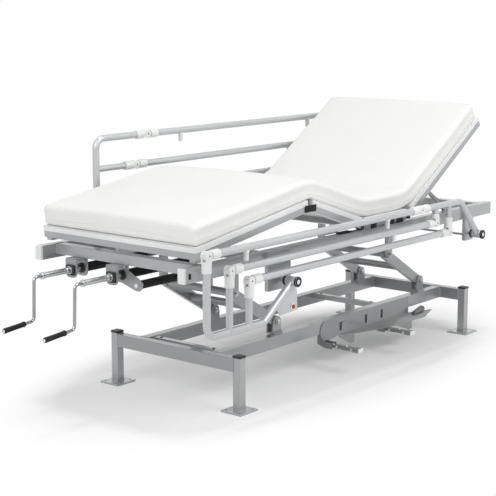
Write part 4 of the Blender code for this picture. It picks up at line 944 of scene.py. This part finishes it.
class BED_OT_side_rails(bpy.types.Operator):
    """Builds the round tubes of both side rails, their end frames, gussets and welds"""

    bl_idname = "bed.side_rails"
    bl_label = "Side Rails"

    gusset = ((-0.112, -0.0843), (-0.077, -0.1265), (0.033, -0.1220), (0.029, -0.0390), (0.006, -0.004))
    gusset_half = 0.003
    gusset_weld = 0.0022
    boss = 0.0192
    boss_half = 0.023
    rings = 12

    def execute(self, context):
        sizes = settings(context, "bed_rails")
        start = tube_start(sizes)
        for side in SIDES:
            for end in ENDS:
                self.end_frame(side, end, sizes)
            run = rail_span(side) - 2 * start
            steps = [start + run * step / self.rings for step in range(self.rings + 1)]
            for which in RAILS:
                pin = joint_place(f"rail_{side}_{which}_level")
                shape = bmesh.new()
                tube(shape, [pin + ALONG * x for x in steps], sizes.tube, 32)
                name = f"rail_{which}_{side}"
                # In the lighter copy of the steel paint, a painted highlight
                piece(f"tube_{name}", shape, "rail_paint", name, (name,))
        return {"FINISHED"}

    def end_frame(self, side, end, sizes):
        """A bent tube from the top fitting to the pivot, with a stub for each of the other fittings."""
        place = frame_place(side, end)
        spots = fitting_spots()
        top = spots["top"]
        start = tube_start(sizes)
        if end == "foot":
            level, stub_end, up = sizes.foot_floor, -start, 1
            corners = [(top.x, 0, top.z - start), (top.x, 0, level), (sizes.foot_knee, 0, level), (0, 0, 0)]
        else:
            level, stub_end, up = top.z, sizes.sleeve_start, -1
            corners = [(top.x + start, 0, level), (sizes.head_knee, 0, level), (0, 0, 0)]
        shape = bmesh.new()
        tube(shape, [place @ point for point in rounded_path(corners, sizes.bend)], sizes.tube, 32)
        for which in ("mid", "low"):
            spot = spots[which]
            ends = [Vector((spot.x, 0, level)), Vector((spot.x, 0, spot.z + stub_end))]
            tube(shape, [place @ point for point in ends], sizes.stub, 32)
            saddle(shape, place, (spot.x, level), sizes.stub, sizes.tube, up)
        if end == "foot":
            self.add_gusset(shape, place)
        profile = barrel(self.boss, -self.boss_half, self.boss_half, 0.002)
        lathe(shape, place @ facing((0, 0, 0), ACROSS), profile)
        name = f"rail_frame_{end}_{side}"
        # In the lighter copy of the steel paint, a painted highlight
        piece(f"tube_{name}", shape, "rail_paint", name, (name,))

    def add_gusset(self, shape, place):
        half = self.gusset_half
        plate(shape, place @ UPRIGHT, self.gusset, -half, half, 0.0012)
        for y in (-half, half):
            line = [Vector((x, 1.2 * y, z)) for x, z in (self.gusset[0], self.gusset[-1])]
            bead(shape, [place @ point for point in line], self.gusset_weld)


class BED_OT_rail_fittings(bpy.types.Operator):
    """Adds the white hinge fittings, their screws and the bumpers of the side rails"""

    bl_idname = "bed.rail_fittings"
    bl_label = "Rail Fittings"

    # Bumpers of each rail: their length and their places along it
    bumpers = {"top": (0.036, (0.228, 1.188)), "mid": (0.022, (1.108,)), "low": (0.0, ())}
    bumper_start = 0.006
    # The foot of a bumper: share of its radius, start, and height over the tube
    bumper_foot = (1.25, 0.008, 0.004)
    tail = 0.0130
    reach = 0.027
    edge = 0.0022
    screw_radius = 0.0036
    screw_sink = 0.0004
    play = 0.0006
    # Which way (x, z) a fitting's sleeve points, and its length as a share of the usual one
    sleeves = {
        "foot": {which: ((0, -1), 1.0) for which in RAILS},
        "head": {"top": ((1, 0), 1.0), "mid": ((0, 1), 0.45), "low": ((0, 1), 1.05)},
    }

    def execute(self, context):
        sizes = settings(context, "bed_rails")
        for side in SIDES:
            for end in ENDS:
                white = bmesh.new()
                screws = bmesh.new()
                for which, spot in fitting_spots().items():
                    place = frame_place(side, end) @ Matrix.Translation(spot)
                    self.holder(white, screws, place, *self.sleeves[end][which], sizes)
                body = f"rail_frame_{end}_{side}"
                piece(f"fittings_{body}", white, "white_plastic", body)
                piece(f"screws_{body}", screws, "dark_paint", body)
            for which in RAILS:
                self.rail(side, which, sizes)
        return {"FINISHED"}

    def sleeve(self, white, place, toward, share, sizes):
        """A plain sleeve on a tube's end, as long as a share of the usual one."""
        spot = place @ facing((0, 0, 0), (toward[0], 0, toward[1]))
        end = sizes.sleeve_start + share * (sizes.sleeve_end - sizes.sleeve_start)
        lathe(white, spot, barrel(sizes.sleeve, sizes.sleeve_start, end, self.edge))

    def holder(self, white, screws, place, toward, share, sizes):
        """The forked half of a fitting on an end frame."""
        self.sleeve(white, place, toward, share, sizes)
        outline = link((0, 0), [self.reach * way for way in toward], sizes.eye, self.tail)
        gap = sizes.tongue + self.play
        for face in reversed(BOTH):
            low, high = sorted((face * gap, face * sizes.cheek))
            plate(white, place @ UPRIGHT, outline, low, high, self.edge, 3)
        for face in BOTH:
            cap = place @ facing(ACROSS * face * (sizes.cheek - self.screw_sink), ACROSS * face)
            screw(screws, cap, self.screw_radius)

    def rail(self, side, which, sizes):
        """The tongue halves of the fittings at a rail's ends, and its bumpers."""
        white = bmesh.new()
        start = Matrix.Translation(joint_place(f"rail_{side}_{which}_level"))
        for x, toward in ((0.0, 1), (rail_span(side), -1)):
            place = start @ Matrix.Translation((x, 0, 0))
            self.sleeve(white, place, (toward, 0), 1.0, sizes)
            outline = link((0, 0), (toward * self.reach, 0), sizes.eye - self.play, self.tail)
            plate(white, place @ UPRIGHT, outline, -sizes.tongue, sizes.tongue, 0.0012)
        drop, places = self.bumpers[which]
        share, foot_start, foot_end = self.bumper_foot
        for x in places:
            spot = start @ facing((x, 0, 0), -UP)
            lathe(white, spot, barrel(sizes.bumper, self.bumper_start, sizes.tube + drop, 0.003))
            lathe(white, spot, barrel(share * sizes.bumper, foot_start, sizes.tube + foot_end, 0.0015))
        body = f"rail_{which}_{side}"
        piece(f"fittings_{body}", white, "white_plastic", body)


class BED_OT_rail_pivots(bpy.types.Operator):
    """Adds the black pivot discs with their white centres, and the red lock buttons in their rings"""

    bl_idname = "bed.rail_pivots"
    bl_label = "Rail Pivots"

    disc = 0.0216
    bore = 0.0092
    rim = 0.0026
    centre_dome = ((0.0098, 0.004), (0.0098, 0.0090), (0.0080, 0.0104), (0.0045, 0.0114), (0.001, 0.0117))
    inner_face = 0.0236
    thickness = 0.0094
    button = 0.0090
    button_half = 0.010
    # The button's rim, as shares of its radius and of half its length
    button_dome = ((1.0, -1.0), (1.0, 0.62), (0.92, 0.86), (0.70, 0.97), (0.30, 1.0))
    # The button's rings: outer radius, bore, inner and outer face, rim
    ring = (0.0138, button + 0.0004, 0.0028, 0.0052, 0.0010)
    rod = 0.0050
    rod_drop = 0.010

    def execute(self, context):
        for side, out in SIDES.items():
            black = bmesh.new()
            white = bmesh.new()
            for end in ENDS:
                for face in BOTH:
                    pivot = joint_place(end_joint(side, end)) + ACROSS * face * self.inner_face
                    place = facing(pivot, ACROSS * face)
                    collar(black, place, self.disc, self.bore, 0.0, self.thickness, self.rim, 40)
                    if face == out:
                        lathe(white, place, self.centre_dome)
            piece(f"pivot_discs_{side}", black, "black_rubber", "upper_frame")
            piece(f"pivot_centres_{side}", white, "white_plastic", "upper_frame")
            self.lock(side, out)
        self.cross_rod()
        return {"FINISHED"}

    def cross_rod(self):
        """The thin rod that ties the two head posts together, just under the rails' pivots."""
        pivot = joint_place("rail_near_head_fold") - UP * self.rod_drop
        reach = abs(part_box("end_cap_near")[0].y)
        shape = bmesh.new()
        tube(shape, [(pivot.x, -reach, pivot.z), (pivot.x, reach, pivot.z)], self.rod, 20)
        # In the darker copy of the steel paint, painted shade under the bed
        piece("head_cross_rod", shape, "base_paint", "upper_frame")

    def lock(self, side, out):
        """A red button, and the white rings round it on both faces of the end frame."""
        node = f"lock_button_{side}"
        spot = middle_of(node)
        shape = bmesh.new()
        profile = [(self.button * radius, self.button_half * height) for radius, height in self.button_dome]
        lathe(shape, facing(spot, ACROSS * out), profile)
        piece(f"knob_{side}", shape, "red_plastic", node, (node,))
        rings = bmesh.new()
        for face in BOTH:
            collar(rings, facing(spot, ACROSS * face), *self.ring)
        piece(f"lock_rings_{side}", rings, "white_plastic", f"rail_frame_foot_{side}")


# Cranks and screws


class BED_OT_cranks(bpy.types.Operator):
    """Builds the plated cranks, their turning grips and the bearings on the brackets"""

    bl_idname = "bed.cranks"
    bl_label = "Cranks"

    rod = 0.0065
    sleeve = 0.0120
    bend = 0.018
    drop = Vector((-0.0065, 0, -0.172))
    sleeve_start = 0.040
    stop = sleeve + 0.0022
    stop_length = 0.010
    stop_lead = 0.004
    stop_place = 0.030
    tail = 0.050
    grip_start = 0.048
    grip_length = 0.108
    grip = 0.0110
    # The grip's outline: shares of its radius with places from its start, along its length and from its end
    grip_flange = ((0.60, 0.0), (0.96, 0.0008), (1.0, 0.003), (1.0, 0.008), (0.93, 0.011))
    grip_waist = ((0.91, 0.35), (0.93, 0.65), (0.97, 0.88))
    grip_tip = ((0.97, 0.007), (0.92, 0.0024), (0.80, 0.0010), (0.25, 0.0010))
    block = (0.024, 0.021)
    block_depth = 0.009
    bush = 0.0205
    bush_depth = 0.006
    bore = sleeve + 0.0008
    ring = sleeve + 0.0042
    ring_low = 0.004
    rim = 0.0015
    # How deep a block sits in the face that carries it
    bed_in = 0.0004
    bolt = (0.0055, 0.005)
    bolt_side = 0.020
    bolt_drop = 0.0065

    def execute(self, context):
        for which in ("back", "knee"):
            bend = joint_place(f"crank_{which}_turn")
            axis = Vector(JOINTS[f"grip_{which}_spin"]["axis"])
            front, rear = (corner.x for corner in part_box(f"crank_bracket_{which}"))
            foot = bend + self.drop
            tip = foot + axis * (self.grip_start + self.grip_length - self.grip)
            shape = bmesh.new()
            corners = [(rear + self.tail, bend.y, bend.z), bend, foot, tip]
            tube(shape, rounded_path(corners, self.bend), self.rod)
            node = f"crank_{which}"
            piece(f"plated_{node}", shape, "chrome", node, (node,))
            shape = bmesh.new()
            place = facing(bend, ALONG)
            end = rear - self.bush_depth - bend.x
            lathe(shape, place, barrel(self.sleeve, self.sleeve_start, end, 0.002))
            for start in (self.sleeve_start - self.stop_lead, front - bend.x - self.stop_place):
                lathe(shape, place, barrel(self.stop, start, start + self.stop_length, self.rim))
            piece(f"sleeve_{node}", shape, "zinc", node)
            self.handle(f"grip_{which}", facing(foot + axis * self.grip_start, axis))
            self.bearing(which, front, rear)
        return {"FINISHED"}

    def handle(self, node, place):
        """A rubber grip with a flange, a slight waist and a pale plug in its end."""
        end = self.grip_length
        profile = [(self.grip * share, height) for share, height in self.grip_flange]
        profile += [(self.grip * share, end * height) for share, height in self.grip_waist]
        profile += [(self.grip * share, end - height) for share, height in self.grip_tip]
        shape = bmesh.new()
        lathe(shape, place, profile)
        piece(f"rubber_{node}", shape, "black_rubber", node, (node,))
        plug = bmesh.new()
        lathe(plug, place, barrel(0.62 * self.grip, end - 0.004, end, 0.0012))
        piece(f"plug_{node}", plug, "white_plastic", node)

    def bearing(self, which, front, rear):
        """A black bearing block on the bracket with a plated ring, a bush behind, and the bracket's bolts."""
        axis = joint_place(f"crank_{which}_turn")
        face = facing((front, axis.y, axis.z), -ALONG)
        back = facing((rear - self.bush_depth, axis.y, axis.z), -ALONG)
        shape = bmesh.new()
        plate(shape, face, oblong(self.block, 0.006), -self.bed_in, self.block_depth, 0.0018, 3)
        collar(shape, back, self.bush, self.bore, -self.bed_in, self.bush_depth, self.rim)
        piece(f"bush_{which}", shape, "black_plastic", "upper_frame")
        shape = bmesh.new()
        collar(shape, face, self.ring, self.bore, self.ring_low, self.block_depth + 0.003, 0.0010)
        piece(f"bush_ring_{which}", shape, "zinc", "upper_frame")
        shape = bmesh.new()
        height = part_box("frame_cross_foot")[0].z - self.bolt_drop
        for share in (0.25, 0.75):
            for side in BOTH:
                spot = (front + share * (rear - front), axis.y + side * self.bolt_side, height)
                hex_bolt(shape, facing(spot, -UP), *self.bolt)
        piece(f"bracket_bolts_{which}", shape, "zinc", "upper_frame")


class BED_OT_screw_covers(bpy.types.Operator):
    """Builds the black covers of the two screws and the lift cylinder with its white end"""

    bl_idname = "bed.screw_covers"
    bl_label = "Screw Covers"

    cover = 0.019
    mouth = 0.0113
    rim = 0.002
    # Bands round the covers and the cylinder: outer radius, inner radius
    band = (cover + 0.0015, cover - 0.001)
    cylinder = 0.017
    cylinder_start = 0.010
    cylinder_band = (cylinder + 0.0016, cylinder - 0.001)
    rod_bore = 0.0094
    # The white end and its pin: radius, foot and head face, rim
    end_cap = (cylinder - 0.0010, 0.0, 0.012, 0.0015)
    end_pin = (0.0085, -0.0155, -0.0062, 0.0015)

    def execute(self, context):
        for which in ("back", "knee"):
            node = f"screw_cover_{which}"
            place, end = self.lying(node)
            shape = bmesh.new()
            collar(shape, place, self.cover, self.mouth, 0.0, end, self.rim)
            for low, high in ((end - 0.016, end - 0.003), (0.003, 0.014)):
                collar(shape, place, *self.band, low, high, 0.0012)
            piece(f"cover_{which}", shape, "black_rubber", "upper_frame", (node,))
        place, end = self.lying("lift_cylinder")
        shape = bmesh.new()
        collar(shape, place, self.cylinder, self.rod_bore, self.cylinder_start, end, self.rim)
        collar(shape, place, *self.cylinder_band, end - 0.014, end - 0.002, 0.001)
        piece("cylinder_tube", shape, "black_rubber", "upper_frame", ("lift_cylinder",))
        white = bmesh.new()
        for drum in (self.end_cap, self.end_pin):
            lathe(white, place, barrel(*drum))
        piece("cylinder_end", white, "white_plastic", "upper_frame")
        return {"FINISHED"}

    def lying(self, node):
        """The middle of a node's foot end, facing the head end, and the node's length."""
        low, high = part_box(node)
        middle = middle_of(node)
        return facing((low.x, middle.y, middle.z), ALONG), high.x - low.x


# Base


def perimeter(along, at, first, second):
    """A closed rectangle of points in the plane square to an axis; first and second are its limits there."""
    spots = [(first[0], second[0]), (first[0], second[1]), (first[1], second[1]), (first[1], second[0])]
    made = []
    for spot in [*spots, spots[0]]:
        point = list(spot)
        point.insert("xyz".index(along), at)
        made.append(point)
    return made


class BED_OT_base_trim(bpy.types.Operator):
    """Adds leg caps, plugs, weld beads and the pivot bolts of the lift"""

    bl_idname = "bed.base_trim"
    bl_label = "Base Trim"

    cap_height = 0.0084
    cap_play = 0.0006
    cap_rise = 0.0004
    hole_edge = 0.016
    # Plugs in the floor plates and in the tie tubes: radius, low and high face, rim
    hole_plug = (0.0057, 0.0004, 0.0060, 0.0008)
    tie_plug = (0.0065, -0.002, 0.0022, 0.0016)
    tie_plug_place = 0.146
    foot_weld_height = 0.0085
    weld = 0.0021
    arm_half = 0.011
    clevis_face = 0.0228
    clevis_half = 0.029
    post_face = 0.0316
    low_bolt = (0.0088, 0.0065)
    high_bolt = (0.0088, 0.0075)
    ties = ("base_tie_tube_foot", "base_tie_tube_mid")
    frame_tubes = ("frame_cross_foot", "frame_cross_head", "lift_cross_foot", "lift_cross_head")
    pivots = {"foot": "lift", "head": "lift_head_swing"}

    def execute(self, context):
        self.caps()
        self.welds()
        self.bolts()
        return {"FINISHED"}

    def caps(self):
        """Black caps on the four legs, plugs in the holes of their floor plates and in the tie tubes."""
        shape = bmesh.new()
        for end in ENDS:
            half = self.rail_half(end) + self.cap_play
            for side in SIDES:
                node = f"leg_{end}_{side}"
                low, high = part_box(node)
                middle = middle_of(node)
                place = Matrix.Translation((middle.x, middle.y, 0))
                outline = oblong((half, half), 0.004)
                plate(shape, place, outline, high.z - self.cap_height, high.z + self.cap_rise, 0.0020, 3)
                for x in (low.x + self.hole_edge, high.x - self.hole_edge):
                    for y in (low.y + self.hole_edge, high.y - self.hole_edge):
                        lathe(shape, Matrix.Translation((x, y, 0)), barrel(*self.hole_plug), 24)
        for node in self.ties:
            for out in BOTH:
                spot = (middle_of(node).x, out * self.tie_plug_place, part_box(node)[1].z)
                lathe(shape, Matrix.Translation(spot), barrel(*self.tie_plug), 24)
        piece("leg_caps", shape, "black_plastic", "base")

    def rail_half(self, end):
        """Half the width of the tubes of the base."""
        low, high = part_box(f"base_cross_rail_{end}")
        return (high.x - low.x) / 2

    def rail_face(self, side):
        """The outer face of a long rail of the base."""
        return max((corner.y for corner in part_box(f"base_rail_{side}")), key=abs)

    def end_welds(self, shape, node, weld, square=False):
        """Beads round both ends of a tube across the bed; square leaves out what hangs under the tube."""
        low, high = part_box(node)
        heights = (high.z - (high.x - low.x) if square else low.z, high.z)
        for y in (low.y, high.y):
            bead(shape, perimeter("y", y, (low.x, high.x), heights), weld)

    def welds(self):
        """Beads where the tubes of the base and of the upper frame meet."""
        shape = bmesh.new()
        for end in ENDS:
            node = f"base_cross_rail_{end}"
            self.end_welds(shape, node, self.weld)
            low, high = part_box(node)
            for side, out in SIDES.items():
                middle = middle_of(f"leg_{end}_{side}")
                thick = abs(middle.y) - high.y
                limits = [(at - thick, at + thick) for at in middle.xy]
                bead(shape, perimeter("z", self.foot_weld_height, *limits), self.weld)
                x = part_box(f"base_rail_{side}")[ENDS.index(end)].x
                outer = self.rail_face(side)
                faces = sorted((outer, outer - out * 2 * self.rail_half(end)))
                bead(shape, perimeter("x", x, faces, (low.z, high.z)), self.weld)
        for node in self.ties:
            self.end_welds(shape, node, 0.8 * self.weld)
        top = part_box("base_cross_rail_foot")[1].z
        for joint in self.pivots.values():
            x = joint_place(joint).x
            for side, out in SIDES.items():
                y = self.rail_face(side) - out * self.rail_half("head")
                bead(shape, [(x - self.clevis_half, y, top), (x + self.clevis_half, y, top)], self.weld)
        piece("base_welds", shape, "steel_paint", "base")
        shape = bmesh.new()
        for node in self.frame_tubes:
            self.end_welds(shape, node, self.weld, True)
        piece("frame_welds", shape, "steel_paint", "upper_frame")

    def bolts(self):
        """Hexagon bolts on the pivots of the lift arms."""
        low = bmesh.new()
        high = bmesh.new()
        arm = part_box("lift_frame_foot")[1].y - self.arm_half
        upper = joint_place("frame_level").z
        for end, joint in self.pivots.items():
            pivot = joint_place(joint)
            for out in BOTH:
                for face in BOTH:
                    spot = (pivot.x, out * arm + face * self.clevis_face, pivot.z)
                    hex_bolt(low, facing(spot, ACROSS * face), *self.low_bolt)
                spot = (middle_of(f"lift_cross_{end}").x, out * (arm + self.post_face), upper)
                hex_bolt(high, facing(spot, ACROSS * out), *self.high_bolt)
        piece("base_pivot_bolts", low, "zinc", "base")
        piece("frame_pivot_bolts", high, "zinc", "upper_frame")


class BED_OT_pedal_trim(bpy.types.Operator):
    """Adds the tips and bolts of the foot pedals, and the painted shade in the slots and holes, the flaps and
    the stop of their guard
    """

    bl_idname = "bed.pedal_trim"
    bl_label = "Pedal Trim"

    tip = 0.008
    proud = 0.0007
    # Bolts on a pedal's top from its inner end, and on its side from the inner end and from the tip
    top_bolts = (0.034, 0.105)
    top_bolt = (0.0052, 0.0045)
    top_sink = 0.0022
    side_bolts = (0.060, 0.045)
    side_bolt = (0.0042, 0.0035)
    side_sink = 0.0038
    slots = (0.154, 0.354, 0.484)
    slot_half = (0.0087, 0.0197)
    slot_drop = 0.045
    # A slot's painted shade: its faces and its edge
    liner = (-0.0002, 0.0008, 0.0003)
    sheet = 0.003
    holes = ((0.174, 0.027), (0.190, 0.027))
    # A hole's dark disc, painted shade in the hole: radius, low and high face, rim
    hole = (0.0030, -0.0005, 0.0003, 0.0001)
    # Flaps under the lip: start and end along the guard, reach out and drop at the start and at the end
    flaps = ((0.130, 0.228, 0.000, 0.025, 0.086, 0.091), (0.518, 0.650, 0.058, 0.062, 0.099, 0.101))
    flap_height = 0.037
    flap_foot = 0.030
    flap_thickness = 0.0025
    stop_place = (0.790, 0.022, 0.076)
    stop_tail = (-0.062, -0.006)
    stop_radii = (0.020, 0.010)
    stop_floor = -0.010
    stop_thickness = 0.014

    def execute(self, context):
        for end in ENDS:
            self.pedal(end)
        low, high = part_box("pedal_cover")
        corner = Vector((low.x, high.y, high.z))
        self.slots_and_stop(corner)
        self.hang_flaps(corner)
        return {"FINISHED"}

    def pedal(self, end):
        body = f"pedal_{end}"
        low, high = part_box(body)
        out = self.proud
        shape = bmesh.new()
        outline = rectangle((low.x - out, high.x + out), (low.y - out, low.y + self.tip), 0.004)
        plate(shape, NO_TURN, outline, low.z - out, high.z + out, 0.0025, 3)
        piece(f"pedal_tip_{end}", shape, "white_plastic", body)
        bolts = bmesh.new()
        middle = middle_of(body)
        for away in self.top_bolts:
            spot = (middle.x, high.y - away, high.z - self.top_sink)
            hex_bolt(bolts, facing(spot, UP), *self.top_bolt)
        for y in (high.y - self.side_bolts[0], low.y + self.side_bolts[1]):
            hex_bolt(bolts, facing((low.x + self.side_sink, y, middle.z), -ALONG), *self.side_bolt)
        piece(f"pedal_bolts_{end}", bolts, "zinc", body)

    def slots_and_stop(self, corner):
        """Dark plates that are painted shade in the guard's slots and two small holes, and the dark stop over
        its lip.
        """
        shape = bmesh.new()
        for x in self.slots:
            place = Matrix.Translation(corner + Vector((x, 0, -self.slot_drop))) @ UPRIGHT
            plate(shape, place, oblong(self.slot_half, 0.002), *self.liner)
        for x, drop in self.holes:
            place = facing(corner + Vector((x, -self.sheet, -drop)), -ACROSS)
            lathe(shape, place, barrel(*self.hole), 16)
        piece("guard_liners", shape, "black_plastic", "base")
        shape = bmesh.new()
        x, reach, drop = self.stop_place
        outline = link((0, 0), self.stop_tail, *self.stop_radii)
        outline = [(along, max(height, self.stop_floor)) for along, height in outline]
        place = Matrix.Translation(corner + Vector((x, -reach, -drop))) @ UPRIGHT
        plate(shape, place, outline, 0.0, self.stop_thickness, 0.0015)
        piece("guard_stop", shape, "dark_paint", "base")

    def hang_flaps(self, corner):
        """Dark three-cornered flaps that hang from the lip beside each pedal."""
        shape = bmesh.new()
        for first, last, near, far, first_drop, last_drop in self.flaps:
            start = corner + Vector((first, -near - self.sheet, -first_drop))
            end = corner + Vector((last, -far - self.sheet, -last_drop))
            below = end - UP * self.flap_height
            outline = [start, end, below, below - ALONG * self.flap_foot]
            run = end - start
            thick = Vector((-run.y, run.x, 0)).normalized() * self.flap_thickness
            skin(shape, [outline, [point + thick for point in outline]])
        piece("guard_flaps", shape, "bracket_paint", "base")


# Stage


class BED_OT_stage(bpy.types.Operator):
    """Adds the floor, the studio light and the camera"""

    bl_idname = "bed.stage"
    bl_label = "Stage"

    # Lamps: place, aim, width, height, power
    lamps = (
        ((0.2, 0.0, 9.0), (0.0, 0.0, 0.0), 1.0, 1.0, 165.0),
        ((0.8, -4.2, 4.4), (0.0, 0.0, 0.4), 3.5, 2.5, 140.0),
        ((-5.0, -0.5, 4.0), (0.0, 0.0, 0.5), 4.0, 3.0, 122.0),
    )
    backdrop = 1.0
    fill = 0.34
    floor_half = 30.0
    # The oval round the bed where the floor shows its shadow
    shade_scale = (0.83, 1.6, 1.0)
    shade_shift = (-0.12, 0.0, 0.0)

    def execute(self, context):
        sizes = settings(context, "bed_stage")
        scene = context.scene
        scene.view_settings.view_transform = "Standard"
        shape = bmesh.new()
        reach = (-self.floor_half, self.floor_half)
        corners = [Vector((x, y, 0.0)) for x, y in rectangle(reach, reach)]
        shape.faces.new([shape.verts.new(corner) for corner in corners])
        self.floor_material(sizes.floor)
        piece("studio_floor", shape, "studio_floor")
        for index, (place, aim, width, height, power) in enumerate(self.lamps):
            lamp = bpy.data.lights.new(f"studio_lamp_{index}", "AREA")
            lamp.shape = "RECTANGLE"
            lamp.size = width
            lamp.size_y = height
            lamp.energy = power
            made = bpy.data.objects.new(f"studio_lamp_{index}", lamp)
            made.matrix_world = facing(place, Vector(place) - Vector(aim))
            scene.collection.objects.link(made)
        self.world(scene)
        lens = bpy.data.cameras.new("photo_camera")
        lens.lens = sizes.lens
        lens.sensor_width = 36.0
        lens.clip_end = 200.0
        eye = bpy.data.objects.new("photo_camera", lens)
        eye.location = Vector(sizes.camera) + ALONG * middle_of("leg_foot_near").x
        eye.rotation_euler = (math.pi / 2 - sizes.pitch, 0, sizes.heading - math.pi / 2)
        scene.collection.objects.link(eye)
        scene.camera = eye
        return {"FINISHED"}

    def seen(self, tree):
        """1 where a ray comes from the camera, a mirror or glass."""
        path = tree.nodes.new("ShaderNodeLightPath")
        shiny = sums(tree, "MAXIMUM", path.outputs["Is Glossy Ray"], path.outputs["Is Transmission Ray"])
        return sums(tree, "MAXIMUM", path.outputs["Is Camera Ray"], shiny)

    def white(self, tree, kind, strength):
        return add_node(tree, kind, {"Color": (1, 1, 1, 1), "Strength": strength}).outputs[0]

    def floor_material(self, rgb):
        """Pale to the light; to the camera it fades to the white backdrop away from the bed. Near the bed it
        still glows a little, a painted light that lightens its shadow, and glows less toward the head end, a
        painted shade that darkens the shadow there.
        """
        tree, shader = new_material("studio_floor", roughness=0.7, specular_ior_level=0.2)
        shader.inputs["Base Color"].default_value = (*rgb, 1.0)
        place = tree.nodes.new("ShaderNodeTexCoord").outputs["Object"]
        inputs = {0: place, 1: self.shade_scale, 2: self.shade_shift}
        oval = add_node(tree, "ShaderNodeVectorMath", inputs, operation="MULTIPLY_ADD").outputs[0]
        far = add_node(tree, "ShaderNodeVectorMath", {0: oval}, operation="LENGTH").outputs["Value"]
        along = add_node(tree, "ShaderNodeSeparateXYZ", {0: place}).outputs["X"]
        # Painted light and shade: a least glow lightens the shadow under the bed, and less of it toward the
        # head end darkens the shadow there
        head_painted_shade = sums(tree, "MULTIPLY", spread(tree, along, -0.8, 0.9), 0.26)
        least_painted_glow = sums(tree, "SUBTRACT", 0.38, head_painted_shade)
        fade = sums(tree, "MAXIMUM", spread(tree, far, 0.8, 1.35), least_painted_glow)
        glow = self.white(tree, "ShaderNodeEmission", self.backdrop)
        share = sums(tree, "MULTIPLY", fade, self.seen(tree))
        both = add_node(tree, "ShaderNodeMixShader", {0: share, 1: shader.outputs[0], 2: glow})
        tree.links.new(both.outputs[0], tree.nodes["Material Output"].inputs["Surface"])

    def world(self, scene):
        """Soft light from all round, behind a white backdrop."""
        world = bpy.data.worlds.new("studio")
        world.use_nodes = True
        tree = world.node_tree
        tree.nodes.clear()
        soft = self.white(tree, "ShaderNodeBackground", self.fill)
        plain = self.white(tree, "ShaderNodeBackground", self.backdrop)
        both = add_node(tree, "ShaderNodeMixShader", {0: self.seen(tree), 1: soft, 2: plain})
        add_node(tree, "ShaderNodeOutputWorld", {"Surface": both.outputs[0]})
        scene.world = world


class BED_PT_panel(bpy.types.Panel):
    """Lists the groups of pieces"""

    bl_idname = "BED_PT_panel"
    bl_label = "Hospital Bed"
    bl_space_type = "VIEW_3D"
    bl_region_type = "UI"
    bl_category = "Bed"

    def draw(self, context):
        for kind in OPERATORS:
            self.layout.operator(kind.bl_idname)
        for name in GROUPS:
            box = self.layout.box()
            group = settings(context, name)
            for key in group.__annotations__:
                box.prop(group, key)


GROUPS = {
    "bed_colours": BedColours,
    "bed_mattress": BedMattress,
    "bed_rails": BedRails,
    "bed_stage": BedStage,
}
OPERATORS = (
    BED_OT_finishes,
    BED_OT_mattress,
    BED_OT_deck_panels,
    BED_OT_side_rails,
    BED_OT_rail_fittings,
    BED_OT_rail_pivots,
    BED_OT_cranks,
    BED_OT_screw_covers,
    BED_OT_base_trim,
    BED_OT_pedal_trim,
    BED_OT_stage,
)


def register():
    for kind in (*GROUPS.values(), *OPERATORS, BED_PT_panel):
        bpy.utils.register_class(kind)
    for name, kind in GROUPS.items():
        setattr(bpy.types.Scene, name, bpy.props.PointerProperty(type=kind))


def unregister():
    for name in GROUPS:
        delattr(bpy.types.Scene, name)
    for kind in reversed((*GROUPS.values(), *OPERATORS, BED_PT_panel)):
        bpy.utils.unregister_class(kind)


def main():
    register()
    for kind in OPERATORS:
        family, name = kind.bl_idname.split(".")
        getattr(getattr(bpy.ops, family), name)()


if __name__ == "__main__":
    main()
